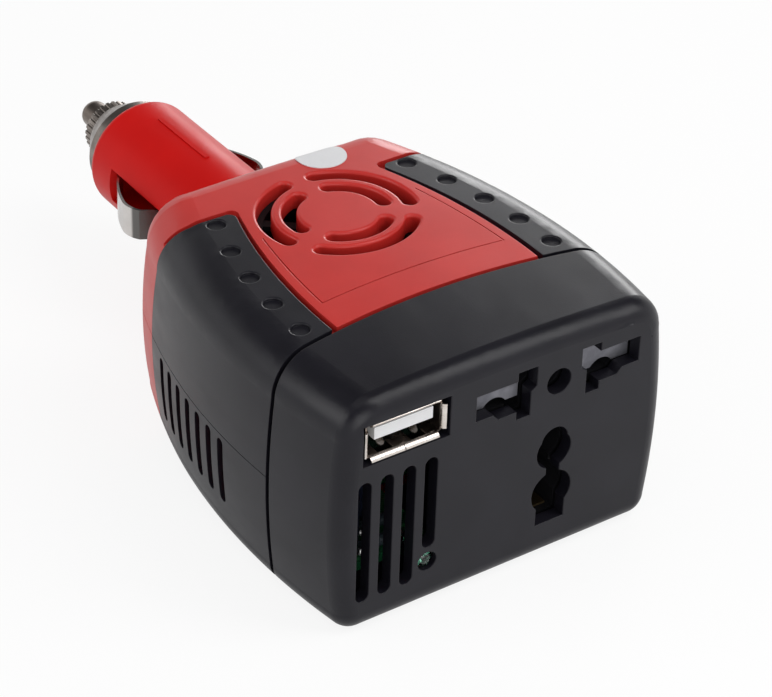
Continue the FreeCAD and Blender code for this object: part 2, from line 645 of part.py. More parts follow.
def make_front_cap():
    """Black front cap: socket face, vents, inner lip, carrier posts and board rails."""
    shell = OUTER.common(cap_cylinder(0.0)).cut(HOLLOW)
    reach = cap_cylinder(size("cap_gap") + size("lip_reach"))
    behind = block(-FAR, FAR, size("lip_start"), FAR, -FAR, FAR)
    inset = size("wall") + 2 * size("fit_gap")
    long_lip = body_loft(inset, 0.0, 2 * size("cap_depth"))
    long_lip = long_lip.cut(body_loft(inset + size("lip_thickness"), -1.0,
                                      2 * size("cap_depth") + 1.0))
    root = body_loft(size("wall") - 0.7, 0.0, 2 * size("cap_depth"))
    root = root.cut(body_loft(size("wall") + 0.7, -1.0, 2 * size("cap_depth") + 1.0))
    adds = [long_lip.common(reach).common(behind),
            root.common(cap_cylinder(0.0)).common(behind)]
    wall = size("face_wall")
    for x, z in carrier_posts():
        adds.append(Part.makeCylinder(size("post_radius"), size("post_end") - wall + 0.5,
                                      V(x, wall - 0.5, z), Y_AXIS))
    board_low = size("usb_height") - size("usb_shell_height") / 2 - size("board_thin")
    for x in (size("usb_x") - 7.6, size("usb_x") + 6.6):
        adds.append(block(x, x + 1.6, wall - 0.5, 12.0, board_low - 1.2,
                          board_low - size("fit_gap")))
    shell = shell.fuse(adds)
    half_w, half_h = size("usb_open_width") / 2, size("usb_open_height") / 2
    cuts = [block(size("usb_x") - half_w, size("usb_x") + half_w, -1.0, wall + 1.0,
                  size("usb_height") - half_h, size("usb_height") + half_h),
            centre_hole(wall + 1.0),
            Part.makeCylinder(size("lamp_hole_radius"), wall + 2.0,
                              V(size("lamp_x"), -1.0, size("lamp_height")), Y_AXIS)]
    cuts += face_vents() + socket_outline(0.0)
    for x, z in carrier_posts():
        cuts.append(Part.makeCylinder(1.05, FAR, V(x, 1.5, z), Y_AXIS))
    shell = shell.cut(cuts)
    side_limit = size("face_width") / 2 - size("face_edge_radius") - RIM_BAND
    top_limit = size("body_height") - size("face_edge_radius") - RIM_BAND

    def on_hole_rim(p):
        low_limit = size("face_edge_radius") + RIM_BAND
        return abs(p.y) < 1e-3 and abs(p.x) < side_limit and low_limit < p.z < top_limit

    return round_rims(shell, size("hole_rounding"), on_hole_rim)


def make_socket_carrier():
    """Moulded block behind the socket face, with a pocket behind each hole."""
    x0 = size("socket_x")
    front, back = CARRIER_FRONT, CARRIER_BACK
    body = block(x0 - size("carrier_half_width"), x0 + size("carrier_half_width"), front, back,
                 size("carrier_bottom"), size("carrier_top"))
    upright = [e for e in body.Edges if abs(e.BoundBox.YLength - size("carrier_depth")) < 1e-6]
    body = body.makeFillet(1.5, upright)
    cuts = socket_outline(0.15) + [centre_hole(back + 1.0)]
    for x, z in carrier_posts():
        step = size("post_end") + 0.3
        cuts.append(Part.makeCylinder(size("post_radius") + 0.1, step - front + 1.0,
                                      V(x, front - 1.0, z), Y_AXIS))
        cuts.append(Part.makeCylinder(1.2, FAR, V(x, front, z), Y_AXIS))
    return body.cut(cuts)


def make_leaf(sign):
    """Contact behind one blade slot: a plate on the carrier and a tail through it."""
    x0, z0 = size("socket_x"), size("socket_height")
    front = CARRIER_FRONT - size("leaf_thickness")
    thick = size("leaf_thickness")
    inner, outer = size("leaf_inner"), size("leaf_outer")
    low, high = sorted((x0 + sign * inner, x0 + sign * outer))
    plate = block(low, high, front, front + thick, z0 - size("leaf_foot"),
                  z0 + size("leaf_top"))
    notch = V(x0 + sign * size("leaf_notch_x"), front - 1.0, z0 - size("leaf_notch_drop"))
    plate = plate.cut(Part.makeCylinder(size("leaf_notch_radius"), 3.0, notch, Y_AXIS))
    flag_z = z0 + size("blade_top") - 0.15
    back = front + thick + size("carrier_depth") + 2.0
    tail_low, tail_high = sorted((x0 + sign * (inner + 0.2), x0 + sign * (inner + 1.7)))
    tail = block(tail_low, tail_high, front, back, flag_z - 0.4, flag_z)
    return plate.fuse(tail).removeSplitter()


def make_earth_contact():
    """Earth contact: a bent strip along the floor of the earth pocket, out to its lead."""
    x0 = size("socket_x")
    z_low = size("socket_height") - size("earth_slot_bottom")
    back = CARRIER_BACK
    strip = block(x0 - 2.2, x0 + 2.2, CARRIER_FRONT + 1.0, back + 1.8,
                  z_low - 0.05, z_low + 0.35)
    riser = block(x0 - 2.2, x0 + 2.2, back + 1.4, back + 1.8, z_low - 0.05, z_low + 6.0)
    return strip.fuse(riser).removeSplitter()


def make_round_label():
    """Thin round label lying on the roof and folded over the rear edge."""
    lean = math.radians(size("label_lean"))
    along = V(0, math.sin(lean), math.cos(lean))
    back = size("body_length") - size("label_rear_inset")
    centre = V(size("label_x"), back, top_height(back) - size("label_drop"))
    disc = Part.makeCylinder(size("round_label_radius"), LABEL_PROBE,
                             centre - along * (LABEL_PROBE / 3), along)
    lifted = OUTER.copy()
    lifted.translate(along * size("label_thickness"))
    return lifted.common(disc).cut(OUTER)


# --------------------------------------------------------------------------- leads

def round_path(points):
    """Wire of straight runs joined by tangent arcs as large as the runs allow."""
    corners = [V(*p) for p in points]
    edges, start = [], corners[0]
    for before, corner, after in zip(corners, corners[1:], corners[2:]):
        arrive = (corner - before).normalize()
        leave = (after - corner).normalize()
        turn = arrive.getAngle(leave)
        setback = 0.45 * min((corner - before).Length, (after - corner).Length)
        radius = setback / math.tan(turn / 2)
        middle = (leave - arrive).normalize()
        depth = radius / math.cos(turn / 2) - radius
        first, last = corner - arrive * setback, corner + leave * setback
        edges.append(Part.LineSegment(start, first).toShape())
        edges.append(Part.Arc(first, corner + middle * depth, last).toShape())
        start = last
        print(f"bend radius {radius:.2f}")
    edges.append(Part.LineSegment(start, corners[-1]).toShape())
    return Part.Wire(edges)


def lead(points, radius):
    """Round lead along a path, with its volume compared with section times length."""
    path = round_path(points)
    start = V(*points[0])
    direction = (V(*points[1]) - start).normalize()
    ring = Part.Wire(Part.Circle(start, direction, radius).toShape())
    solid = path.makePipeShell([ring], True, False)
    expected = math.pi * radius ** 2 * path.Length
    if abs(solid.Volume - expected) > 0.02 * expected:
        raise ValueError("a lead's volume is not its section times its length")
    return solid


def make_positive_lead():
    """Lead from the rear contact of the plug to the main board."""
    top = BOARD_TOP
    first, bend, down = FLANGE_START - 3.0, FLANGE_START - 6.2, FLANGE_START - 9.4
    return lead([(0, BORE_START, AXIS), (0, first, AXIS), (4.6, bend, AXIS - 1.5),
                 (6.9, down, AXIS - 6.5), (6.9, down, top)], size("lead_radius"))


def make_ground_leads():
    """Two leads from the ground springs to the main board."""
    top, solids = BOARD_TOP, []
    for sign in (-1, 1):
        outer, down = CHANNEL + 2.0, FLANGE_START - 3.7
        solids.append(lead([(sign * CHANNEL, POCKET_REAR - 0.1, AXIS),
                            (sign * CHANNEL, FLANGE_START - 3.0, AXIS),
                            (sign * outer, down, AXIS - 6.5), (sign * outer, down, top)],
                           size("lead_radius")))
    return Part.makeCompound(solids)


def make_fan_leads():
    """Two thin leads from the fan frame down to the main board."""
    top, solids = BOARD_TOP, []
    front = size("grille_back") - size("fan_width") / 2
    for x in (9.2, 10.4):
        high = FAN_TOP - size("fan_depth") + 2.0
        solids.append(lead([(x, front, high), (x, front - 3.0, high), (x, front - 3.0, top)],
                           0.4))
    return Part.makeCompound(solids)


def make_socket_leads():
    """Three leads from the socket contacts to the main board."""
    top = BOARD_TOP
    x0, z0 = size("socket_x"), size("socket_height")
    back = CARRIER_BACK + 2.0
    flag = z0 + size("blade_top") - 0.35
    inner = size("leaf_inner") + 0.95
    side = size("board_front") + 1.6
    live = [(x0 + inner, back, flag), (x0 + inner, back + 3.8, flag),
            (19.3, side, flag - 9.0), (19.3, side, top)]
    neutral = [(x0 - inner, back, flag), (x0 - inner, back + 3.8, flag),
               (-0.6, side, flag - 9.0), (-0.6, side, top)]
    low = z0 - size("earth_slot_bottom")
    riser = CARRIER_BACK + 1.8
    earth = [(x0, riser, low + 5.0), (x0, side, low + 5.0), (x0, side, top)]
    return Part.makeCompound([lead(path, size("lead_radius")) for path in (live, neutral, earth)])


def make_usb_leads():
    """Two thin leads from the USB board down to the main board."""
    top = BOARD_TOP
    under = size("usb_height") - size("usb_shell_height") / 2 - size("board_thin")
    solids = [lead([(x, 18.6, under), (x, 18.6, under - 4.0), (x, 19.9, under - 10.0),
                    (x, 19.9, top)], 0.4) for x in (-11.2, -12.6)]
    return Part.makeCompound(solids)


def fan_corners():
    """Centres of the fan's four corner screws in plan."""
    half = size("fan_screw_half")
    return [(sx * half, size("grille_back") + sy * half) for sx in (-1, 1) for sy in (-1, 1)]


# --------------------------------------------------------------------------- fan and plug

def make_blades():
    """Fan rotor: cup-shaped hub with swept blades."""
    top = FAN_TOP
    high, low = top - 1.3, top - size("fan_depth") + 0.8
    centre_y = size("grille_back")
    hub = Part.makeCylinder(size("fan_hub"), high - low, V(0, centre_y, low))
    room = Part.makeCylinder(size("fan_hub") - 0.6, FAR, V(0, centre_y, low + 0.8))
    tip = size("fan_bore") - size("fan_tip_gap")
    blades = []
    lean = math.radians(32)
    for k in range(int(size("fan_blades"))):
        turn = 360.0 * k / size("fan_blades")
        run = (high - low - 0.8) / math.tan(lean)
        corners = [V(0, -run / 2, low + 0.4), V(0, -run / 2 + 1.0, low + 0.4),
                   V(0, run / 2 + 1.0, high - 0.4), V(0, run / 2, high - 0.4)]
        face = Part.Face(Part.makePolygon(corners + corners[:1]))
        blade = face.extrude(V(tip + 2.0, 0, 0))
        blade = blade.common(Part.makeCylinder(tip, FAR, V(0, 0, 0)))
        blade.rotate(V(0, 0, 0), Z_AXIS, turn)
        blade.translate(V(0, centre_y, 0))
        blades.append(blade)
    rotor = hub.fuse(blades).cut(room)
    return rotor.cut(Part.makeCylinder(size("fan_shaft_radius"), FAR,
                                       V(0, centre_y, low + 0.3)))


def make_fan_frame():
    """Fan frame: square duct, corner holes and the motor base on three struts."""
    top, centre_y = FAN_TOP, size("grille_back")
    low, half = top - size("fan_depth"), size("fan_width") / 2
    frame = block(-half, half, centre_y - half, centre_y + half, low, top)
    upright = [e for e in frame.Edges if abs(e.BoundBox.ZLength - size("fan_depth")) < 1e-6]
    frame = frame.makeFillet(2.0, upright)
    frame = frame.cut(Part.makeCylinder(size("fan_bore"), FAR, V(0, centre_y, 0)))
    post_low = low + 1.9
    adds = [Part.makeCylinder(size("fan_hub") + 0.3, 0.75, V(0, centre_y, top - 0.9)),
            Part.makeCylinder(1.6, top - 0.2 - post_low, V(0, centre_y, post_low))]
    for turn in (20, 140, 260):
        strut = block(3.0, size("fan_bore") + 0.5, -0.9, 0.9, top - 0.9, top - 0.2)
        strut.rotate(V(0, 0, 0), Z_AXIS, turn)
        strut.translate(V(0, centre_y, 0))
        adds.append(strut)
    frame = frame.fuse(adds)
    cuts = [Part.makeCylinder(size("fan_shaft_radius") + size("running_gap"),
                              top - 0.5 - post_low + 1.0, V(0, centre_y, post_low - 1.0))]
    for x, y in fan_corners():
        cuts.append(Part.makeCylinder(size("fan_screw_radius") + 0.15, FAR, V(x, y, 0)))
    return frame.cut(cuts)


def make_fan_coils():
    """Stator coils: four lobes around the bearing post."""
    top, centre_y = FAN_TOP, size("grille_back")
    low = top - size("fan_depth") + 2.4
    lobes = []
    for k in range(4):
        lobe = Part.makeCylinder(1.5, top - 1.5 - low, V(2.8, 0, low))
        lobe.rotate(V(0, 0, 0), Z_AXIS, 45 + 90 * k)
        lobe.translate(V(0, centre_y, 0))
        lobes.append(lobe)
    core = Part.makeCylinder(3.0, top - 1.5 - low, V(0, centre_y, low))
    post = Part.makeCylinder(1.6 + size("fit_gap"), FAR, V(0, centre_y, 0))
    return core.fuse(lobes).cut(post)


def ground_strip(sign):
    """Ground spring: sheet strip with two hidden feet and a bulge out of the plug's side."""
    thick, half = size("spring_sheet"), size("spring_half")
    foot, peak = size("barrel_radius") - size("skin") - 0.5, size("barrel_radius") + size("spring_rise")
    front, rear = SLOT_FRONT, SLOT_REAR

    def outline(inset):
        first, last = front - 0.6, rear + 0.3 + inset
        low = foot - inset
        crest = peak - inset
        return [((low, POCKET_FRONT - 0.4), (low, first + 0.4)),
                ((low, first + 0.4), (low + 0.62 * (crest - low), front - 4.6 + 0.3 * inset),
                 (crest, rear + 5.8)),
                ((crest, rear + 5.8), (crest - 0.15, rear + 3.7), (crest - 1.0, rear + 2.1)),
                ((crest - 1.0, rear + 2.1), (low + 0.9 + inset, last)),
                ((low + 0.9 + inset, last), (low, last)),
                ((low, last), (low, POCKET_REAR + 0.5))]

    outer, inner = outline(0.0), outline(thick)
    joined = outer + [(outer[-1][1], inner[-1][-1])]
    joined += [tuple(reversed(item)) for item in reversed(inner)]
    joined += [(inner[0][0], outer[0][0])]
    mirrored = [tuple((sign * x, y) for x, y in item) for item in joined]
    return prism(mirrored, AXIS - half, AXIS + half)


def make_plug_spring():
    """Coil spring between the rear contact and the fuse."""
    wire_radius, coil_radius = size("spring_wire"), size("fuse_radius") - 0.6
    start = BORE_START + size("disc_thickness") + size("fit_gap")
    length = FUSE_START - size("fit_gap") - start - 2 * wire_radius
    helix = Part.makeHelix(length / size("spring_turns"), length, coil_radius)
    ring = Part.Wire(Part.Circle(V(coil_radius, 0, 0), Y_AXIS, wire_radius).toShape())
    spring = Part.Wire(helix).makePipeShell([ring], True, True)
    spring.rotate(V(0, 0, 0), X_AXIS, -90)
    spring.translate(V(0, start + wire_radius, AXIS))
    return Part.makeCompound([spring])


# --------------------------------------------------------------------------- bound pieces

def turned(label, profile):
    """Body turned about the plug's axis from a closed profile of radius against station."""
    body = doc.addObject("PartDesign::Body", label)
    sketch = body.newObject("Sketcher::SketchObject", label + "_profile")
    plane = [item for item in body.Origin.OriginFeatures if item.Role == "XY_Plane"][0]
    sketch.AttachmentSupport = [(plane, "")]
    sketch.MapMode = "FlatFace"
    points = [V(value_of(radius), value_of(station), 0) for radius, station in profile]
    count = len(points)
    for k, point in enumerate(points):
        sketch.addGeometry(Part.LineSegment(point, points[(k + 1) % count]))
    for k in range(count):
        sketch.addConstraint(Sketcher.Constraint("Coincident", k, 2, (k + 1) % count, 1))
    for k, (radius, station) in enumerate(profile):
        for kind, text, value in (("DistanceX", radius, points[k].x),
                                  ("DistanceY", station, points[k].y)):
            index = sketch.addConstraint(Sketcher.Constraint(kind, -1, 1, k, 1, value))
            sketch.setExpression(f"Constraints[{index}]", text)
    turn = body.newObject("PartDesign::Revolution", label + "_turn")
    turn.Profile = sketch
    turn.ReferenceAxis = (sketch, ["V_Axis"])
    turn.Angle = 360
    bind(body, **{"Placement.Base.z": s("axis_height")})
    doc.recompute()
    return body


def soften(body, radius, station, rounding):
    """Round the circular edge of a turned body at a radius and station."""
    doc.recompute()
    tip = body.Tip
    names = []
    for k, edge in enumerate(tip.Shape.Edges, start=1):
        box_ = edge.BoundBox
        flat = abs(box_.YMin - value_of(station)) < 1e-4 and abs(box_.YMax - value_of(station)) < 1e-4
        if flat and abs(box_.XMax - value_of(radius)) < 1e-3:
            names.append(f"Edge{k}")
    feature = body.newObject("PartDesign::Fillet", body.Label + "_round")
    feature.Base = (tip, names)
    feature.setExpression("Radius", rounding)
    doc.recompute()
    return body


def build_plug_barrel():
    """Red plug barrel with its flange, bores, side windows and spring pockets."""
    sunk = f"({BARREL_END_TEXT} - Sizes.nose_bore_depth)"
    land_end = f"({BARREL_END_TEXT} - Sizes.barrel_land)"
    body = turned("barrel_turning", [
        ("1", FLANGE_START_TEXT), ("1", BORE_START_TEXT),
        (s("fuse_bore"), BORE_START_TEXT), (s("fuse_bore"), sunk), (s("nose_bore"), sunk),
        (s("nose_bore"), BARREL_END_TEXT), (s("barrel_radius"), BARREL_END_TEXT),
        (s("barrel_radius"), land_end),
        (ROOT_RADIUS_TEXT, f"{FLANGE_START_TEXT} + Sizes.flange_thickness"),
        ("Sizes.barrel_radius + Sizes.flange_lip", f"{FLANGE_START_TEXT} + Sizes.flange_thickness"),
        ("Sizes.barrel_radius + Sizes.flange_lip", FLANGE_START_TEXT)])
    soften(body, s("barrel_radius"), BARREL_END_TEXT, s("barrel_edge"))
    rib = box("barrel_rib", "0.8", s("rib_length"), "0.45", "-0.4",
              f"{SLOT_REAR_TEXT} + 0.3", "Sizes.axis_height + Sizes.barrel_radius - 0.2")
    tools = []
    for side, sign in (("left", "-1"), ("right", "1")):
        depth = "(Sizes.barrel_radius - Sizes.skin - (Sizes.fuse_bore + Sizes.bore_skin))"
        reach = "(Sizes.barrel_radius - Sizes.skin - 0.1)"
        shift = f" - {depth}" if sign == "-1" else ""
        start = f"{sign} * (Sizes.fuse_bore + Sizes.bore_skin){shift}"
        tools.append(box(f"spring_pocket_{side}", depth, f"{POCKET_FRONT_TEXT} - {POCKET_REAR_TEXT}",
                         "2 * Sizes.slot_half", start, POCKET_REAR_TEXT,
                         "Sizes.axis_height - Sizes.slot_half"))
        out = "4"
        first = f"{reach}" if sign == "1" else f"-{reach} - {out}"
        tools.append(box(f"spring_window_{side}", out, s("slot_length"),
                         "2 * Sizes.slot_half", first, SLOT_REAR_TEXT,
                         "Sizes.axis_height - Sizes.slot_half"))
        run = f"{POCKET_REAR_TEXT} - {FLANGE_START_TEXT} + 1"
        tools.append(cylinder(f"lead_channel_{side}", "0.85", run, f"{sign} * {CHANNEL_TEXT}",
                              f"{FLANGE_START_TEXT} - 0.9", s("axis_height"), "y"))
    place(cut("plug_barrel", fuse("barrel_solid", [body, rib]), tools), "plug_barrel")


def build_rear_contact():
    """Contact disc at the bottom of the fuse bore."""
    seat = f"({BORE_START_TEXT} + Sizes.fit_gap)"
    rim = f"({BORE_START_TEXT} + Sizes.disc_thickness)"
    bind_place(turned("rear_contact", [
        ("0", seat), ("Sizes.fuse_bore - 0.2", seat), ("Sizes.fuse_bore - 0.2", rim),
        ("1.7", rim), ("1.7", f"{rim} + 0.8"), ("0", f"{rim} + 0.8")]), "rear_contact")


def bind_place(body, label):
    """Name a turned body and place it in the assembly's own frame."""
    body.Label = label
    body.setExpression("Placement.Base.y", f"-{OVERALL} / 2")
    NODES.append(body)
    return body


def build_fuse():
    """Cartridge fuse: glass tube, two end caps and the wire between them."""
    inset = "0.5"
    bind_place(turned("fuse_glass", [
        ("Sizes.fuse_radius - 0.9", f"{FUSE_START_TEXT} + {inset}"),
        ("Sizes.fuse_radius - 0.3", f"{FUSE_START_TEXT} + {inset}"),
        ("Sizes.fuse_radius - 0.3", f"{FUSE_END_TEXT} - {inset}"),
        ("Sizes.fuse_radius - 0.9", f"{FUSE_END_TEXT} - {inset}")]), "fuse_glass")
    caps = []
    for side, end, sign in (("rear", FUSE_START_TEXT, "+"), ("front", FUSE_END_TEXT, "-")):
        mouth, floor = f"{end} {sign} Sizes.fuse_cap_length", f"{end} {sign} 0.45"
        caps.append(turned(f"fuse_cap_{side}", [
            ("0", end), (s("fuse_radius"), end), (s("fuse_radius"), mouth),
            ("Sizes.fuse_radius - 0.28", mouth), ("Sizes.fuse_radius - 0.28", floor),
            ("0", floor)]))
    place(group("fuse_caps", caps), "fuse_caps")
    wire = cylinder("fuse_wire_rod", "0.12", "Sizes.fuse_length - 0.9 - 2 * Sizes.fit_gap", "0",
                    f"{FUSE_START_TEXT} + 0.45 + Sizes.fit_gap", s("axis_height"), "y")
    place(group("fuse_wire", [wire]), "fuse_wire")


def build_tip_contact():
    """Spring-loaded centre contact of the plug."""
    tail = f"({TIP_FLANGE_TEXT} - Sizes.tip_flange_length)"
    body = turned("tip_contact", [
        ("0", f"{tail} - Sizes.tip_tail_length"),
        (s("tip_tail_radius"), f"{tail} - Sizes.tip_tail_length"), (s("tip_tail_radius"), tail),
        (s("tip_flange_radius"), tail), (s("tip_flange_radius"), TIP_FLANGE_TEXT),
        (s("tip_radius"), TIP_FLANGE_TEXT), (s("tip_radius"), OVERALL), ("0", OVERALL)])
    soften(body, s("tip_radius"), OVERALL, "1.7")
    bind_place(body, "tip_contact")


def build_nose_cap():
    """Nickel nose ring that unscrews to free the fuse, with a knurled end."""
    sunk = f"({BARREL_END_TEXT} - Sizes.nose_bore_depth + 0.2)"
    seat = f"({BARREL_END_TEXT} + Sizes.fit_gap)"
    collar = f"({BARREL_END_TEXT} + Sizes.collar_length)"
    cone = f"({BARREL_END_TEXT} + Sizes.collar_length + Sizes.cone_length)"
    stop = f"({TIP_FLANGE_TEXT} + 0.3)"
    cavity = "(Sizes.tip_flange_radius + 0.2)"
    throat = "(Sizes.tip_radius + 0.15)"
    spigot = "(Sizes.nose_bore - 0.1)"
    body = turned("nose_cap", [
        (cavity, sunk), (spigot, sunk), (spigot, seat), (s("collar_radius"), seat),
        (s("collar_radius"), collar), (s("cone_end_radius"), cone), (s("knurl_radius"), cone),
        (s("knurl_radius"), NOSE_END_TEXT), (throat, NOSE_END_TEXT), (throat, stop),
        (cavity, stop)])
    sketch = body.newObject("Sketcher::SketchObject", "knurl_groove")
    plane = [item for item in body.Origin.OriginFeatures if item.Role == "XZ_Plane"][0]
    sketch.AttachmentSupport = [(plane, "")]
    sketch.MapMode = "FlatFace"
    sketch.setExpression("AttachmentOffset.Base.z", f"-{NOSE_END_TEXT} - 1")
    sketch.addGeometry(Part.Circle(V(5, 0, 0), Z_AXIS, 0.3))
    sketch.addConstraint(Sketcher.Constraint("PointOnObject", 0, 3, -1))
    across = sketch.addConstraint(Sketcher.Constraint("DistanceX", -1, 1, 0, 3, 5.0))
    sketch.setExpression(f"Constraints[{across}]", "Sizes.knurl_radius + 0.05")
    sketch.addConstraint(Sketcher.Constraint("Radius", 0, 0.3))
    before = body.Tip.Shape.Volume
    pocket = body.newObject("PartDesign::Pocket", "knurl_cut")
    pocket.Profile = sketch
    pocket.setExpression("Length", "Sizes.nose_length - Sizes.collar_length"
                                   " - Sizes.cone_length + 1 - 0.15")
    pocket.Reversed = False
    doc.recompute()
    if not pocket.Shape.Volume < before - 0.05:
        pocket.Reversed = True
        doc.recompute()
    if not pocket.Shape.Volume < before - 0.05:
        raise ValueError("the knurl groove cuts nothing")
    pattern = body.newObject("PartDesign::PolarPattern", "knurl")
    pattern.Originals = [pocket]
    pattern.Axis = ([item for item in body.Origin.OriginFeatures if item.Role == "Y_Axis"][0],
                    [""])
    pattern.Angle = 360
    pattern.setExpression("Occurrences", s("knurl_count"))
    body.Tip = pattern
    doc.recompute()
    bind_place(body, "nose_cap")


def screw(name, shank, head, head_height, length, x, y, z):
    """Cross-head screw whose head seat is at z, its shank running up from there."""
    stem = cylinder(f"{name}_stem", shank, length, x, y, z)
    disc = cylinder(f"{name}_head", head, head_height, x, y, f"{z} - {head_height}")
    arm = f"({head} * 0.55)"
    deep = f"({head_height} * 0.55)"
    cross = [box(f"{name}_slot_{k}", a, b, f"2 * {deep}", f"{x} - {a} / 2", f"{y} - {b} / 2",
                 f"{z} - {head_height} - {deep}")
             for k, (a, b) in enumerate(((f"(2 * {arm})", "0.5"), ("0.5", f"(2 * {arm})")))]
    return cut(name, fuse(f"{name}_solid", [stem, disc]), cross)


def build_screws():
    """The housing's four screws and the fan's four screws."""
    ends = [("Sizes.boss_x_front", s("boss_back_front")), ("Sizes.boss_x_rear",
                                                           BOSS_REAR_TEXT)]
    screws = []
    for k, (x, y) in enumerate(ends):
        for side, sign in (("left", "-1"), ("right", "1")):
            screws.append(screw(f"housing_screw_{k}_{side}", s("screw_radius"),
                                s("screw_head_radius"), s("screw_head_height"),
                                s("screw_length"), f"{sign} * {x}", y, s("screw_recess")))
    place(group("housing_screws", screws), "housing_screws")
    screws = []
    for k, (sx, sy) in enumerate((("-1", "-1"), ("-1", "1"), ("1", "-1"), ("1", "1"))):
        screws.append(screw(f"fan_screw_{k}", s("fan_screw_radius"), "1.9", "1.1",
                            "Sizes.fan_depth + 1.5", f"{sx} * Sizes.fan_screw_half",
                            f"Sizes.grille_back + {sy} * Sizes.fan_screw_half",
                            f"{FAN_TOP_TEXT} - Sizes.fan_depth"))
    place(group("fan_screws", screws), "fan_screws")


def build_carrier_screws():
    """Two screws that hold the socket carrier on the cap's posts."""
    back = CARRIER_BACK_TEXT
    screws = []
    for side, sign in (("left", "-1"), ("right", "1")):
        x = f"Sizes.socket_x + {sign} * Sizes.carrier_post_x"
        z = s("carrier_post_height")
        stem = cylinder(f"carrier_screw_stem_{side}", "1", f"{back} - 3", x, "3", z, "y")
        head = cylinder(f"carrier_screw_head_{side}", "2", "1.2", x, back, z, "y")
        slot = box(f"carrier_screw_slot_{side}", "3", "1.2", "0.5", f"{x} - 1.5",
                   f"{back} + 0.6", f"{z} - 0.25")
        screws.append(cut(f"carrier_screw_{side}", fuse(f"carrier_screw_solid_{side}",
                                                        [stem, head]), [slot]))
    place(group("carrier_screws", screws), "carrier_screws")


def build_main_board():
    """Main circuit board with clearance for the bosses and a tongue behind the vents."""
    plate = box("board_plate", "2 * Sizes.board_half_width",
                f"{BOARD_REAR_TEXT} - Sizes.board_front", s("board_thickness"),
                "-Sizes.board_half_width", s("board_front"), s("board_height"))
    tongue = box("board_tongue", "15", "Sizes.board_front - 5.5", s("board_thickness"),
                 "-24", "6", s("board_height"))
    ends = [("Sizes.boss_x_front", s("boss_back_front")),
            ("Sizes.boss_x_rear", BOSS_REAR_TEXT)]
    holes = [cylinder(f"board_hole_{k}_{sign}", "Sizes.boss_radius + 4 * Sizes.fit_gap",
                      "3 * Sizes.board_thickness", f"{sign} * {x}", y,
                      "Sizes.board_height - Sizes.board_thickness")
             for k, (x, y) in enumerate(ends) for sign in ("-1", "1")]
    place(cut("main_board", fuse("board_solid", [plate, tongue]), holes), "main_board")


def build_usb():
    """USB board, tongue and contacts; the shell is made apart."""
    board = box("usb_board_plate", "17.5", "17.5", s("board_thin"), "Sizes.usb_x - 8.5", "4",
                f"{USB_FLOOR_TEXT} - Sizes.board_thin")
    notch = box("usb_board_notch", "4", "3", "3", "Sizes.usb_x + 6", "18.6",
                f"{USB_FLOOR_TEXT} - 2")
    place(cut("usb_board", board, [notch]), "usb_board")
    roof = "(Sizes.usb_height + Sizes.usb_shell_height / 2 - Sizes.usb_sheet)"
    tongue = box("usb_tongue_blade", s("usb_tongue_width"), "Sizes.usb_shell_depth - 1.5",
                 s("usb_tongue_height"), "Sizes.usb_x - Sizes.usb_tongue_width / 2",
                 "Sizes.usb_front + 0.9",
                 f"{roof} - Sizes.usb_tongue_gap - Sizes.usb_tongue_height")
    back = box("usb_tongue_back", "Sizes.usb_shell_width - 2 * Sizes.usb_sheet - 0.1", "3",
               "Sizes.usb_shell_height - 2 * Sizes.usb_sheet - 0.1",
               "Sizes.usb_x - Sizes.usb_shell_width / 2 + Sizes.usb_sheet + 0.05",
               "Sizes.usb_front + Sizes.usb_shell_depth - 3.6",
               f"{USB_FLOOR_TEXT} + Sizes.usb_sheet + 0.05")
    place(fuse("usb_tongue", [tongue, back]), "usb_tongue")
    under = f"({roof} - Sizes.usb_tongue_gap - Sizes.usb_tongue_height)"
    strips = [box(f"usb_contact_{k}", "1", "7.5", "0.25", f"Sizes.usb_x + {x} - 0.5",
                  "Sizes.usb_front + 2.4", f"{under} - 0.25")
              for k, x in enumerate(("-3.5", "-1", "1", "3.5"))]
    place(group("usb_contacts", strips), "usb_contacts")


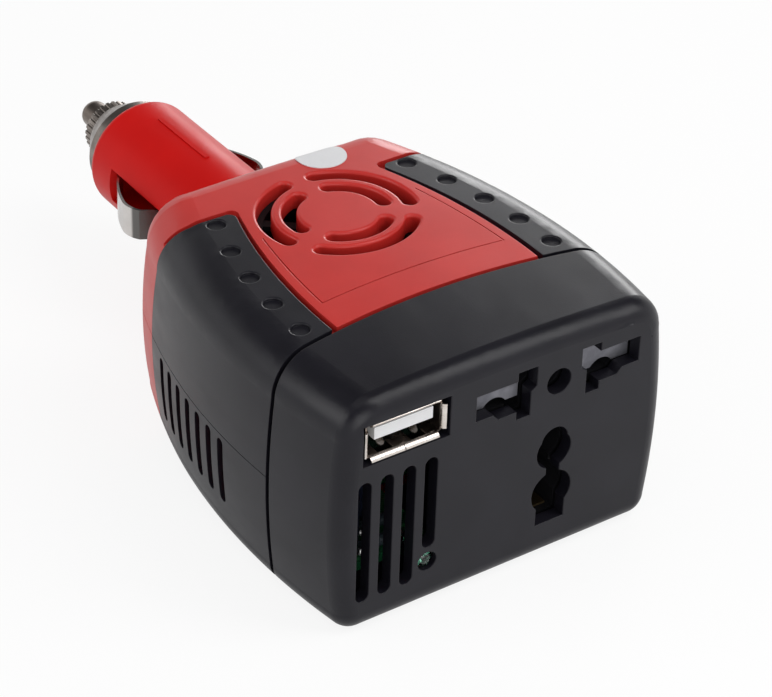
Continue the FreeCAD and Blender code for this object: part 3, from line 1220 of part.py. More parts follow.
def make_usb_shell():
    """Folded steel shell of the USB port with flared lips and two spring tabs."""
    x0, z0, sheet_ = size("usb_x"), size("usb_height"), size("usb_sheet")
    half_w, half_h = size("usb_shell_width") / 2, size("usb_shell_height") / 2
    front, depth = size("usb_front"), size("usb_shell_depth")
    mouth = front + 0.9

    def ring(grow, y):
        w, h = half_w + grow, half_h + grow
        return Part.makePolygon([V(x0 - w, y, z0 - h), V(x0 + w, y, z0 - h),
                                 V(x0 + w, y, z0 + h), V(x0 - w, y, z0 + h),
                                 V(x0 - w, y, z0 - h)])

    tube = block(x0 - half_w, x0 + half_w, mouth, front + depth, z0 - half_h, z0 + half_h)
    tube = tube.cut(block(x0 - half_w + sheet_, x0 + half_w - sheet_, mouth - 1.0,
                          front + depth - sheet_, z0 - half_h + sheet_, z0 + half_h - sheet_))
    flare, split = size("usb_lip_flare"), size("usb_lip_split") / 2
    lips = Part.makeLoft([ring(flare, front), ring(0.0, mouth)], True, True)
    lips = lips.cut(Part.makeLoft([ring(flare - sheet_, front - 0.001),
                                   ring(-sheet_, mouth + 0.001)], True, True))
    gaps = [block(x0 - split, x0 + split, front - 1.0, mouth, z0 - half_h - 1.0, z0)]
    for sx in (-1, 1):
        for sz in (-1, 1):
            corner = V(x0 + sx * half_w, front - 1.0, z0 + sz * half_h)
            gaps.append(Part.makeCylinder(0.75, 1.0 + 0.9, corner, Y_AXIS))
    shell = tube.fuse(lips.cut(gaps))
    low = z0 - half_h + sheet_
    tab_width, open_half = size("usb_tab_width"), size("usb_window_width") / 2
    for x in (x0 - size("usb_tab_x"), x0 + size("usb_tab_x")):
        shell = shell.cut(block(x - open_half, x + open_half, mouth + 0.2, front + 7.6,
                                z0 - half_h - 1.0, low + 0.001))
        side = x - tab_width / 2
        points = [V(side, front + 7.8, low - sheet_), V(side, front + 7.8, low),
                  V(side, front + 3.6, low + 0.9), V(side, front + 1.9, low + 0.35),
                  V(side, front + 1.9, low + 0.1), V(side, front + 3.6, low + 0.65)]
        tab = Part.Face(Part.makePolygon(points + points[:1])).extrude(V(tab_width, 0, 0))
        shell = shell.fuse(tab)
    return shell


def build_lamp():
    """Lamp lens with its rim, and its two leads to the board."""
    body = cylinder("lamp_barrel", s("lamp_radius"), "4.6", s("lamp_x"), "0.9",
                    s("lamp_height"), "y")
    rim = cylinder("lamp_rim", "1.9", "0.9", s("lamp_x"), "4.6", s("lamp_height"), "y")
    dome = doc.addObject("Part::Sphere", "lamp_dome")
    bind(dome, Radius=s("lamp_radius"))
    move_to(dome, s("lamp_x"), "Sizes.lamp_radius + 0.1", s("lamp_height"))
    place(fuse("lamp_lens", [body, rim, dome]), "lamp_lens")
    parts = []
    for side, sign in (("left", "-1"), ("right", "1")):
        x = f"Sizes.lamp_x + {sign} * 0.7 - 0.2"
        run = box(f"lamp_lead_run_{side}", "0.4", "3.9", "0.4", x, "5.55",
                  "Sizes.lamp_height - 0.2")
        leg = box(f"lamp_lead_leg_{side}", "0.4", "0.4", f"Sizes.lamp_height - {BOARD_TOP_TEXT}",
                  x, "9.05", BOARD_TOP_TEXT)
        parts.append(fuse(f"lamp_lead_{side}", [run, leg]))
    place(group("lamp_leads", parts), "lamp_leads")


def build_transformer():
    """Transformer: ferrite core, bobbin and windings."""
    c, top = "40.3", BOARD_TOP_TEXT
    block_ = box("core_block", "23", "13", "17", "-11.5", f"{c} - 6.5", f"{top} + 2.4")
    windows = [box(f"core_window_{side}", "4.4", "20", "12", x, f"{c} - 10", f"{top} + 4.9")
               for side, x in (("left", "-8"), ("right", "3.6"))]
    place(cut("transformer_core", block_, windows), "transformer_core")
    low = f"({top} + 5)"
    tube = box("bobbin_tube", "9", "14.8", "11.8", "-4.5", f"{c} - 7.4", low)
    flanges = [box(f"bobbin_flange_{k}", "15.8", "21", "0.8", "-7.9", f"{c} - 10.5", z)
               for k, z in enumerate((low, f"{low} + 11"))]
    rails = [box(f"bobbin_rail_{k}", "15.8", "2.6", "5.4", "-7.9", y, top)
             for k, y in enumerate((f"{c} - 10.5", f"{c} + 7.9"))]
    leg = box("bobbin_bore", "7.4", "13.2", "20", "-3.7", f"{c} - 6.6", f"{top} - 1")
    place(cut("transformer_bobbin", fuse("bobbin_solid", [tube] + flanges + rails), [leg]),
          "transformer_bobbin")
    coil = box("winding_block", "15", "20.2", "10", "-7.5", f"{c} - 10.1", f"{low} + 0.9")
    room = box("winding_room", "9.1", "14.9", "30", "-4.55", f"{c} - 7.45", top)
    place(cut("transformer_windings", coil, [room]), "transformer_windings")


def build_can(label, radius, height, x, y):
    """Round can capacitor standing on the board, with a waist and a pressed top."""
    top = BOARD_TOP_TEXT
    can = cylinder(f"{label}_can", radius, height, x, y, top)
    waist = doc.addObject("Part::Torus", f"{label}_waist")
    bind(waist, Radius1=f"{radius} + 0.25", Radius2="0.6")
    move_to(waist, x, y, f"{top} + 2")
    place(cut(label, can, [waist]), label)


def build_board_parts():
    """Capacitors, choke, heat sink, transistors, chip and resistors on the boards."""
    top = BOARD_TOP_TEXT
    build_can("input_capacitor", "5", "18", "15.6", "50.4")
    film = box("film_block", "6.5", "12.5", "11.5", "13.2", "30.5", top)
    place(group("film_capacitor", [film]), "film_capacitor")
    small = []
    for k, (x, y) in enumerate((("-20.8", "11.2"), ("-14.4", "15.6"), ("-20.6", "18"))):
        small.append(cylinder(f"small_can_{k}", "2.2", "8", x, y, top))
    place(group("small_capacitors", small), "small_capacitors")
    core = doc.addObject("Part::Torus", "choke_ring")
    bind(core, Radius1="3.4", Radius2="1.2")
    move_to(core, "0", "56.3", f"{top} + 1.75")
    place(group("choke_core", [core]), "choke_core")
    turns = []
    for k in range(10):
        angle = 36 * k
        loop = doc.addObject("Part::Torus", f"choke_turn_{k}")
        bind(loop, Radius1="1.5", Radius2="0.25")
        loop.Placement.Rotation = FreeCAD.Rotation(Z_AXIS, angle) * FreeCAD.Rotation(X_AXIS, 90)
        move_to(loop, f"3.4 * cos({angle} deg)", f"56.3 + 3.4 * sin({angle} deg)",
                f"{top} + 1.75")
        turns.append(loop)
    place(group("choke_winding", turns), "choke_winding")
    plate = box("sink_plate", "2.2", "23.5", "19", "-19.4", "32", top)
    fins = [box(f"sink_fin_{k}", "3", "1.2", "16.5", "-22.2", f"32 + {3.716 * k:.2f}",
                f"{top} + 2") for k in range(7)]
    place(fuse("heat_sink", [plate] + fins), "heat_sink")
    parts = []
    for k, y in enumerate(("38.2", "49.3")):
        tab = box(f"transistor_tab_{k}", "1.3", "10.2", "15.2", "-17.2", f"{y} - 5.1",
                  f"{top} + 3.2")
        body = box(f"transistor_body_{k}", "3.3", "10.2", "9", "-16", f"{y} - 5.1",
                   f"{top} + 3.2")
        legs = [box(f"transistor_leg_{k}_{n}", "0.5", "0.8", "3.4", "-14.9",
                    f"{y} + {offset} - 0.4", top) for n, offset in enumerate((-2.54, 0, 2.54))]
        parts.append(fuse(f"transistor_{k}", [tab, body] + legs))
    place(group("power_transistors", parts), "power_transistors")
    chip = box("chip_body", "10", "3.4", "1.5", "-5", "25.2", f"{top} + 0.2")
    pins = [box(f"chip_pin_{row}_{k}", "0.4", "1", "0.8", f"{1.27 * k - 4.65:.2f}", y, top)
            for row, y in enumerate(("24.4", "28.4")) for k in range(8)]
    place(fuse("controller_chip", [chip] + pins), "controller_chip")
    spots = [("-20", "7.7"), ("-17.4", "11.6"), ("-15", "29.8"), ("-11.8", "52.6")]
    rods = [cylinder(f"resistor_{k}", "0.9", "4.6", x, y, f"{top} + 0.9", "x")
            for k, (x, y) in enumerate(spots)]
    place(group("board_resistors", rods), "board_resistors")


def build_fan_core():
    """Fan shaft, rotor magnet and the label on the motor base."""
    low = f"({FAN_TOP_TEXT} - Sizes.fan_depth + 0.8)"
    shaft = cylinder("shaft_rod", s("fan_shaft_radius"), "Sizes.fan_depth - 1.8", "0",
                     s("grille_back"), f"{low} + 0.3")
    place(group("fan_shaft", [shaft]), "fan_shaft")
    ring = cylinder("magnet_ring", "Sizes.fan_hub - 0.65", "3.9", "0", s("grille_back"),
                    f"{low} + 0.85")
    bore = cylinder("magnet_bore", "Sizes.fan_hub - 1.3", "8", "0", s("grille_back"), low)
    place(cut("rotor_magnet", ring, [bore]), "rotor_magnet")
    disc = cylinder("label_disc", "5.6", "0.1", "0", s("grille_back"),
                    f"{FAN_TOP_TEXT} - 0.15")
    place(group("fan_label", [disc]), "fan_label")


def build_all():
    """Make every piece of the assembly."""
    add_feature("front_cap", make_front_cap())
    add_feature("upper_housing", make_upper_housing())
    add_feature("lower_housing", make_lower_housing())
    for side, sign in (("left", -1), ("right", 1)):
        add_feature(f"upper_grip_{side}", make_grip(sign, True))
        add_feature(f"lower_grip_{side}", make_grip(sign, False))
        add_feature(f"ground_spring_{side}", ground_strip(sign))
    add_feature("round_label", make_round_label())
    add_feature("socket_carrier", make_socket_carrier())
    add_feature("live_contact", make_leaf(1))
    add_feature("neutral_contact", make_leaf(-1))
    add_feature("earth_contact", make_earth_contact())
    add_feature("usb_shell", make_usb_shell())
    add_feature("fan_rotor", make_blades())
    add_feature("fan_frame", make_fan_frame())
    add_feature("fan_coils", make_fan_coils())
    add_feature("plug_spring", make_plug_spring())
    add_feature("positive_lead", make_positive_lead())
    add_feature("ground_leads", make_ground_leads())
    add_feature("fan_leads", make_fan_leads())
    add_feature("socket_leads", make_socket_leads())
    add_feature("usb_leads", make_usb_leads())
    build_plug_barrel()
    build_rear_contact()
    build_fuse()
    build_tip_contact()
    build_nose_cap()
    build_screws()
    build_carrier_screws()
    build_main_board()
    build_usb()
    build_lamp()
    build_transformer()
    build_board_parts()
    build_fan_core()


def check_and_write():
    """Refuse a failed or invalid piece, then write each one to its own file."""
    doc.recompute()
    for obj in doc.Objects:
        if "Invalid" in obj.State or "Error" in obj.State:
            raise ValueError(f"{obj.Label} failed to compute: {obj.State}")
    for obj in NODES:
        if obj.Shape.isNull() or not obj.Shape.isValid() or not obj.Shape.Solids:
            raise ValueError(f"{obj.Label} has no valid solid")
    os.makedirs("parts", exist_ok=True)
    for obj in NODES:
        obj.Shape.exportStep(f"parts/{obj.Label}.step")
        print(f"{obj.Label}: {len(obj.Shape.Solids)} solids, {obj.Shape.Volume:.1f} mm3")


build_all()
check_and_write()
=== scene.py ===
"""Looks of a mains inverter that plugs into a vehicle's power socket, dressed over its assembly.

Every length in this file is in millimetres until it reaches a mesh or a light, where MM turns it
into metres. The row's frame has +Z up, the socket face towards -Y and the plug towards +Y.
"""

import json
import logging
import math
from collections.abc import Iterable, Sequence
from dataclasses import dataclass
from enum import Enum

import bmesh
import bpy
from mathutils import Matrix, Vector


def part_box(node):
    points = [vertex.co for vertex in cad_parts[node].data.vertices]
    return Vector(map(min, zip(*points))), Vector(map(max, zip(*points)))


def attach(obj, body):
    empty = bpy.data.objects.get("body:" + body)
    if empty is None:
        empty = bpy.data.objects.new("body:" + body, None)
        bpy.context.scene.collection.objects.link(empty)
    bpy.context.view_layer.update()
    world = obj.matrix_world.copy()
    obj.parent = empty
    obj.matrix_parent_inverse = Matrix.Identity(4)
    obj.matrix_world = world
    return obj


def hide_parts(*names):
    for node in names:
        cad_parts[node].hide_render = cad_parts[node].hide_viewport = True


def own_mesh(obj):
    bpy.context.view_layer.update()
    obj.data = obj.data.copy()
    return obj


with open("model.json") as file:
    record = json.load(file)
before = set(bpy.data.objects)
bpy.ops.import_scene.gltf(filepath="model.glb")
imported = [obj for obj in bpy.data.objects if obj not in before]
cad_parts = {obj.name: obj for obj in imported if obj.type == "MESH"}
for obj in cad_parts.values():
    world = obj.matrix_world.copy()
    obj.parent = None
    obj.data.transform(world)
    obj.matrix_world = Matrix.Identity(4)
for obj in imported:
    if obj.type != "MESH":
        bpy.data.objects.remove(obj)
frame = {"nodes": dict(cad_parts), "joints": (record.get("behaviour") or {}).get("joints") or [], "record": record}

MM = 0.001
SMOOTH_ANGLE = 40.0
WELD_METRES = 1e-5
POLE_RADIUS = 1e-6
NEARLY_UPRIGHT = 0.1
CORNER_STEPS = 4
LOG = logging.getLogger("inverter")

Colour = tuple[float, float, float]
Triple = tuple[float, float, float]
Outline = Sequence[tuple[float, float]]


class Body(Enum):
    """Bodies of the assembly that a piece can ride on."""

    HOUSING = "housing"
    FAN = "fan"
    NOSE = "nose"
    TIP = "tip"
    GROUND_LEFT = "ground_left"
    GROUND_RIGHT = "ground_right"


class Along(Enum):
    """Direction that a turned or wound piece runs along."""

    X = 0
    Y = 1
    Z = 2

    def way(self, onward: int = 0) -> Vector:
        """Unit vector along this axis, or along the one that comes a few places after it."""
        return Vector([float(k == (self.value + onward) % 3) for k in range(3)])


# ------------------------------- shader writing


class Value:
    """One shader socket that Python arithmetic can be written on."""

    def __init__(self, maker: "NodeSheet", socket: bpy.types.NodeSocket) -> None:
        """Keep the socket and the shader that new nodes go into."""
        self.maker = maker
        self.socket = socket

    def _math(self, operation: str, *operands: "Value | float") -> "Value":
        """Add one Math node.

        Args:
            operation: the Math node's operation.
            operands: its inputs in order.

        Returns:
            The node's result.
        """
        return self.maker.node("ShaderNodeMath", {"operation": operation},
                               dict(enumerate(operands)))

    def __add__(self, other: "Value | float") -> "Value":
        """Sum of two values."""
        return self._math("ADD", self, other)

    def __radd__(self, other: float) -> "Value":
        """Sum with a number on the left."""
        return self._math("ADD", other, self)

    def __sub__(self, other: "Value | float") -> "Value":
        """Difference of two values."""
        return self._math("SUBTRACT", self, other)

    def __rsub__(self, other: float) -> "Value":
        """Difference from a number on the left."""
        return self._math("SUBTRACT", other, self)

    def __mul__(self, other: "Value | float") -> "Value":
        """Product of two values."""
        return self._math("MULTIPLY", self, other)

    def __rmul__(self, other: float) -> "Value":
        """Product with a number on the left."""
        return self._math("MULTIPLY", other, self)

    def sine(self) -> "Value":
        """Sine of an angle in radians."""
        return self._math("SINE", self)

    def larger(self, other: "Value | float") -> "Value":
        """The larger of two values."""
        return self._math("MAXIMUM", self, other)

    def step(self, low: float, high: float) -> "Value":
        """Smooth step from 0 at low to 1 at high, in either order."""
        settings = {"interpolation_type": "SMOOTHSTEP"}
        return self.maker.node("ShaderNodeMapRange", settings, {0: self, 1: low, 2: high})


class NodeSheet:
    """A node tree while it is being written."""

    def __init__(self, tree: bpy.types.NodeTree) -> None:
        """Keep the tree that nodes go into."""
        self.tree = tree

    def node(self, kind: str, settings: dict | None = None, inputs: dict | None = None,
             output: int | str = 0) -> Value:
        """Add a node, set it up and link it.

        Args:
            kind: the node's type.
            settings: attributes set first, such as a Math node's operation.
            inputs: socket index or name against a number, a colour or a Value.
            output: which output is returned.

        Returns:
            The chosen output.
        """
        node = self.tree.nodes.new(kind)
        for key, value in (settings or {}).items():
            setattr(node, key, value)
        for key, value in (inputs or {}).items():
            if isinstance(value, Value):
                self.tree.links.new(value.socket, node.inputs[key])
            else:
                node.inputs[key].default_value = value
        return Value(self, node.outputs[output])

    def link(self, value: Value, node: str, socket: str) -> None:
        """Feed a socket of a node that the tree came with."""
        self.tree.links.new(value.socket, self.tree.nodes[node].inputs[socket])

    def ray(self, kind: str) -> Value:
        """1 for rays of one kind, such as Camera, and 0 for all others."""
        return self.node("ShaderNodeLightPath", output=f"Is {kind} Ray")

    def shown(self) -> Value:
        """1 for rays from the camera, a reflection or glass, and 0 for light."""
        return self.ray("Camera").larger(self.ray("Glossy")).larger(self.ray("Transmission"))


@dataclass(frozen=True)
class Patches:
    """Marks that come and go over a surface.

    Attributes:
        grain: size of one patch in millimetres.
        detail: octaves of finer noise in its edge.
        low: noise at which a patch starts.
        high: noise at which it is full.
        stretch: how much denser the noise is along each axis.
    """

    grain: float
    detail: float
    low: float
    high: float
    stretch: Triple = (1.0, 1.0, 1.0)


EDGE_SAMPLES = 4
NOISE_MEAN = 0.5
MAIN_SHARE = 0.7
FLOW_MARKS = Patches(9.0, 3.0, 0.3, 0.7)
HANDLED = Patches(4.0, 4.0, 0.35, 0.75, (1.0, 0.35, 1.0))
SMUDGES = Patches(2.6, 4.0, 0.35, 0.72)
LENS_FILM = Patches(1.6, 4.0, 0.45, 0.8)
COPPER_BREAKS = Patches(6.0, 0.0, 0.44, 0.5)


class Shader(NodeSheet):
    """A material while it is being written."""

    def __init__(self, name: str) -> None:
        """Make an empty material with an output and one Principled shader."""
        self.material = bpy.data.materials.new(name)
        self.material.use_nodes = True
        super().__init__(self.material.node_tree)
        self.principled = self.tree.nodes["Principled BSDF"]

    def place(self, stretch: Triple = (1.0, 1.0, 1.0)) -> Value:
        """Position on the piece in millimetres, each axis times its stretch."""
        here = self.node("ShaderNodeTexCoord", output="Object")
        scale = tuple(part / MM for part in stretch)
        return self.node("ShaderNodeMapping", None, {"Vector": here, "Scale": scale})

    def axis(self, along: Along) -> Value:
        """Position along one axis in millimetres."""
        return self.node("ShaderNodeSeparateXYZ", None, {0: self.place()}, along.value)

    def noise(self, grain: float, detail: float = 2.0,
              stretch: Triple = (1.0, 1.0, 1.0)) -> Value:
        """Smooth noise about 0.5.

        Args:
            grain: size of one patch in millimetres.
            detail: octaves of finer noise.
            stretch: how much denser the noise is along each axis.

        Returns:
            The noise's factor.
        """
        inputs = {"Vector": self.place(stretch), "Scale": 1.0 / grain, "Detail": detail}
        return self.node("ShaderNodeTexNoise", None, inputs)

    def patches(self, pattern: Patches) -> Value:
        """Noise eased into patches: 0 between them and 1 inside."""
        noise = self.noise(pattern.grain, pattern.detail, pattern.stretch)
        return noise.step(pattern.low, pattern.high)

    def cells(self, grain: float) -> Value:
        """Distance pattern of cells of a size in millimetres."""
        inputs = {"Vector": self.place(), "Scale": 1.0 / grain}
        return self.node("ShaderNodeTexVoronoi", None, inputs, "Distance")

    def eased_edges(self, reach: float) -> Value:
        """Normal that rounds sharp edges off over a reach in millimetres."""
        return self.node("ShaderNodeBevel", {"samples": EDGE_SAMPLES}, {"Radius": reach * MM})

    def blend(self, factor: Value | float, low: Colour | Value, high: Colour | Value) -> Value:
        """Colour that runs from low to high as the factor runs from 0 to 1."""
        ends = [c if isinstance(c, Value) else (*c, 1.0) for c in (low, high)]
        return self.node("ShaderNodeMix", {"data_type": "RGBA"},
                         {0: factor, 6: ends[0], 7: ends[1]}, 2)

    def relief(self, height: Value, depth: float, under: Value | None = None) -> Value:
        """Bump of a depth in millimetres, on top of another normal if one is given."""
        inputs = {"Height": height, "Distance": depth * MM}
        if under is not None:
            inputs["Normal"] = under
        return self.node("ShaderNodeBump", None, inputs)

    def finish(self, **sockets: "Value | float | Colour") -> bpy.types.Material:
        """Feed the Principled shader.

        Args:
            sockets: socket name, with _ for a space, against its value or link.

        Returns:
            The finished material.
        """
        for key, value in sockets.items():
            socket = self.principled.inputs[key.replace("_", " ")]
            if isinstance(value, Value):
                self.tree.links.new(value.socket, socket)
            elif isinstance(value, tuple) and len(value) == 3:
                socket.default_value = (*value, 1.0)
            else:
                socket.default_value = value
        return self.material


# ------------------------------- finishes


@dataclass(frozen=True)
class Moulded:
    """Moulded plastic, sleeve or rubber.

    Attributes:
        name: the material's name.
        colour: its colour where it is clean.
        shade: its colour in the flow marks.
        roughness: mean roughness.
        swing: how far handling changes the roughness.
        grain: size of the moulded grain in millimetres.
        depth: depth of that grain in millimetres.
        ease: reach of the shaded edge rounding in millimetres.
        specular: share of light that its skin reflects.
        coat: weight of a clear coat.
        coat_roughness: roughness of that coat.
        grain_swing: how far the grain changes the roughness.
    """

    name: str
    colour: Colour
    shade: Colour
    roughness: float = 0.35
    swing: float = 0.06
    grain: float = 0.3
    depth: float = 0.006
    ease: float = 0.0
    specular: float = 0.5
    coat: float = 0.0
    coat_roughness: float = 0.12
    grain_swing: float = 0.04

    def material(self) -> bpy.types.Material:
        """Plastic with flow marks, a fine moulded grain and handled patches."""
        make = Shader(self.name)
        flow = make.patches(FLOW_MARKS)
        grain = make.noise(self.grain)
        rub = make.patches(HANDLED)
        base = make.blend(MAIN_SHARE * flow + (1.0 - MAIN_SHARE) * grain, self.shade, self.colour)
        rough = (self.roughness + self.swing * (rub - NOISE_MEAN)
                 + self.grain_swing * (grain - NOISE_MEAN))
        edges = make.eased_edges(self.ease) if self.ease else None
        return make.finish(Base_Color=base, Roughness=rough, Specular_IOR_Level=self.specular,
                           Coat_Weight=self.coat, Coat_Roughness=self.coat_roughness,
                           Normal=make.relief(grain, self.depth, edges))


@dataclass(frozen=True)
class Plated:
    """Bare or plated metal with drawing lines along one axis.

    Attributes:
        name: the material's name.
        colour: its colour where it is bright.
        dull: its colour in smudges.
        roughness: roughness where it is bright.
        swing: how much rougher smudges are.
        lines: the axis that drawing lines follow.
        line_depth: their depth in millimetres.
        grain: their spacing in millimetres.
        line_swing: how far the lines change the roughness.
        draw: how dense the lines' noise is along them, against 1 across them.
        painted_dark_span: positions along Y in millimetres between which it turns from bright to a
            painted dark reflection, which stands in for the dark surroundings that part reflects.
        painted_dark_share: how dark that painted reflection is, as a share of the dull colour.
    """

    name: str
    colour: Colour
    dull: Colour
    roughness: float = 0.2
    swing: float = 0.12
    lines: Along = Along.Y
    line_depth: float = 0.001
    grain: float = 0.12
    line_swing: float = 0.08
    draw: float = 0.06
    # Painted dark reflection: the Y span past which the metal's colour is darkened.
    painted_dark_span: tuple[float, float] | None = None
    painted_dark_share: float = 0.25

    def material(self) -> bpy.types.Material:
        """Metal whose lines, smudges and dull patches vary over it, with a painted dark reflection past a Y span
        where one is given.
        """
        make = Shader(self.name)
        stretch = tuple(self.draw if axis is self.lines else 1.0 for axis in Along)
        lines = make.noise(self.grain, stretch=stretch)
        smudge = make.patches(SMUDGES)
        base = make.blend(smudge * MAIN_SHARE + lines * (1.0 - MAIN_SHARE), self.dull, self.colour)
        # Painted dark reflection: past the given Y the colour turns dark, standing in for the dark surroundings
        # that this part reflects.
        if self.painted_dark_span:
            painted_dark_mask = make.axis(Along.Y).step(*self.painted_dark_span)
            base = make.blend(painted_dark_mask, base, tuple(self.painted_dark_share * part for part in self.dull))
        rough = (self.roughness + self.swing * (1.0 - smudge)
                 + self.line_swing * (lines - NOISE_MEAN))
        return make.finish(Base_Color=base, Metallic=1.0, Roughness=rough,
                           Normal=make.relief(lines, self.line_depth))


@dataclass(frozen=True)
class Sintered:
    """Pressed and fired dark material, matt and speckled.

    Attributes:
        name: the material's name.
        colour: its colour between specks.
        speck: colour that its specks lean to.
        roughness: roughness between specks.
        speck_grain: spacing of the specks in millimetres.
        speck_edges: distances from a speck's centre at which it ends and is full.
        speck_share: how far a speck takes its own colour.
        shine: how much smoother a speck is.
        pit_grain: size of a pit in millimetres.
        pit_depth: its depth in millimetres.
    """

    name: str
    colour: Colour
    speck: Colour
    roughness: float = 0.6
    speck_grain: float = 0.35
    speck_edges: tuple[float, float] = (0.32, 0.05)
    speck_share: float = 0.6
    shine: float = 0.2
    pit_grain: float = 0.22
    pit_depth: float = 0.02

    def material(self) -> bpy.types.Material:
        """Dark ceramic with fine specks and small pits."""
        make = Shader(self.name)
        specks = make.cells(self.speck_grain).step(*self.speck_edges)
        pits = make.noise(self.pit_grain, 3.0)
        base = make.blend(specks * self.speck_share, self.colour, self.speck)
        return make.finish(Base_Color=base, Roughness=self.roughness - self.shine * specks,
                           Normal=make.relief(pits, self.pit_depth))


@dataclass(frozen=True)
class CircuitBoard:
    """Green lacquered board with copper runs under the lacquer and a woven core.

    Attributes:
        name: the material's name.
        mask: colour of the lacquer.
        copper: colour of a run under it.
        pitch: spacing of the runs in millimetres.
        roughness: mean roughness.
        weave_rate: radians of the weave in a millimetre.
        weave_swing: how far the weave changes the roughness.
        weave_height: height of the weave as a share of a run's.
        run_height: height of a run in millimetres.
    """

    name: str
    mask: Colour
    copper: Colour
    pitch: float = 2.54
    roughness: float = 0.28
    weave_rate: float = 9.0
    weave_swing: float = 0.05
    weave_height: float = 0.15
    run_height: float = 0.03

    def material(self) -> bpy.types.Material:
        """Solder mask over stepped copper runs, with a faint weave."""
        make = Shader(self.name)
        bricks = {"Vector": make.place(), "Scale": 1.0 / (2.0 * self.pitch), "Mortar Size": 0.07,
                  "Mortar Smooth": 0.3, "Bias": 0.0, "Brick Width": 1.3, "Row Height": 0.6}
        gaps = make.node("ShaderNodeTexBrick", {"offset": 0.37, "squash": 1.6}, bricks, "Fac")
        runs = gaps * make.patches(COPPER_BREAKS)
        warp, weft = ((make.axis(axis) * self.weave_rate).sine() for axis in (Along.X, Along.Y))
        weave = warp * weft
        tint = make.blend(runs, self.mask, self.copper)
        return make.finish(Base_Color=tint, Roughness=self.roughness + self.weave_swing * weave,
                           Normal=make.relief(runs + self.weave_height * weave, self.run_height))


@dataclass(frozen=True)
class Paper:
    """Blank label of pale film.

    Attributes:
        name: the material's name.
        colour: its colour on a fibre.
        shade: its colour between fibres.
        roughness: roughness between fibres.
        swing: how much rougher a fibre is.
        fibre: width of a fibre in millimetres.
        depth: depth between fibres in millimetres.
    """

    name: str
    colour: Colour
    shade: Colour
    roughness: float = 0.3
    swing: float = 0.1
    fibre: float = 0.4
    depth: float = 0.004

    def material(self) -> bpy.types.Material:
        """White film label with faint fibres."""
        make = Shader(self.name)
        fibres = make.noise(self.fibre, 4.0, (1.0, 0.3, 1.0))
        base = make.blend(fibres, self.shade, self.colour)
        return make.finish(Base_Color=base, Roughness=self.roughness + self.swing * fibres,
                           Normal=make.relief(fibres, self.depth))


@dataclass(frozen=True)
class Glass:
    """Clear or tinted glass or lens resin.

    Attributes:
        name: the material's name.
        tint: its colour where it is clean.
        roughness: roughness where it is clean.
        index: how strongly it bends light.
        film: colour of the film on it.
        film_share: how far the film hides the tint.
        film_swing: how much rougher the film is.
    """

    name: str
    tint: Colour
    roughness: float = 0.03
    index: float = 1.5
    film: Colour = (0.9, 0.9, 0.88)
    film_share: float = 0.25
    film_swing: float = 0.12

    def material(self) -> bpy.types.Material:
        """Glass with a slight film that roughens it in places."""
        make = Shader(self.name)
        film = make.patches(LENS_FILM)
        tint = make.blend(film * self.film_share, self.tint, self.film)
        return make.finish(Base_Color=tint, Roughness=self.roughness + self.film_swing * film,
                           IOR=self.index, Transmission_Weight=1.0)


FINISHES = {
    "red_shell": Moulded("red_moulding", (0.515, 0.027, 0.022), (0.460, 0.021, 0.017), 0.34,
                         grain=0.35, depth=0.004, ease=0.12, specular=0.32),
    "black_shell": Moulded("black_moulding", (0.0098, 0.0092, 0.0135), (0.0062, 0.0058, 0.0090),
                           0.33, grain=0.2, depth=0.014, ease=0.14, specular=0.25),
    # Painted shade: the port's walls are the same nickel as its lips, darkened to brown to stand in for the shade
    # inside the port.
    "shell_inside_painted_shade": Plated("shell_inside_painted_shade", (0.30, 0.26, 0.23), (0.17, 0.13, 0.11), 0.24, 0.10),
    "nickel": Plated("nickel_plate", (0.80, 0.75, 0.71), (0.60, 0.54, 0.49), 0.20, 0.10),
    "spring_steel": Plated("spring_strip", (0.66, 0.64, 0.62), (0.58, 0.56, 0.54), 0.16, 0.05),
    "grey_contact": Plated("tinned_strip", (0.31, 0.31, 0.34), (0.19, 0.19, 0.215), 0.55,
                           lines=Along.Z, line_depth=0.002, grain=0.25),
    "steel_zinc": Plated("zinc_plate", (0.56, 0.56, 0.55), (0.36, 0.36, 0.36), 0.28, 0.15,
                         lines=Along.Z),
    # Brass, darkened to about half its clean brightness as painted shade for its place deep in the earth hole.
    "brass_contact": Plated("brass_strip", (0.22, 0.16, 0.085), (0.13, 0.095, 0.05), 0.4),
    "white_plastic": Moulded("white_insulator", (0.68, 0.68, 0.69), (0.62, 0.62, 0.62)),
    "dark_moulding": Moulded("dark_moulding", (0.010, 0.010, 0.012), (0.007, 0.007, 0.008), 0.5,
                             specular=0.2),
    "board_green": CircuitBoard("board_lacquer", (0.008, 0.075, 0.028), (0.03, 0.17, 0.06)),
    "ferrite": Sintered("ferrite", (0.045, 0.045, 0.05), (0.13, 0.13, 0.14)),
    "magnet": Sintered("bonded_magnet", (0.06, 0.055, 0.055), (0.16, 0.15, 0.15), 0.5),
    "copper_wire": Plated("enamelled_copper", (0.72, 0.30, 0.12), (0.48, 0.17, 0.06), 0.22, 0.1),
    "can_sleeve": Moulded("can_sleeve", (0.014, 0.018, 0.040), (0.009, 0.012, 0.028), 0.32, 0.05,
                          grain=1.2, depth=0.01, coat=0.3),
    "film_box": Moulded("film_box", (0.52, 0.22, 0.02), (0.44, 0.18, 0.015), 0.4),
    "aluminium": Plated("aluminium", (0.78, 0.78, 0.79), (0.6, 0.6, 0.62), 0.3, lines=Along.Z),
    "resistor_body": Moulded("resistor_body", (0.035, 0.05, 0.062), (0.025, 0.037, 0.047), 0.45),
    "label_white": Paper("blank_label", (0.68, 0.68, 0.69), (0.62, 0.62, 0.64)),
    "lens_green": Glass("green_lens", (0.10, 0.38, 0.25), 0.10),
    "fuse_tube": Glass("fuse_glass", (0.95, 0.97, 0.96)),
    "lead_red": Moulded("red_insulation", (0.50, 0.02, 0.015), (0.42, 0.016, 0.012), 0.45),
    "lead_black": Moulded("black_insulation", (0.02, 0.02, 0.02), (0.014, 0.014, 0.014), 0.45),
}

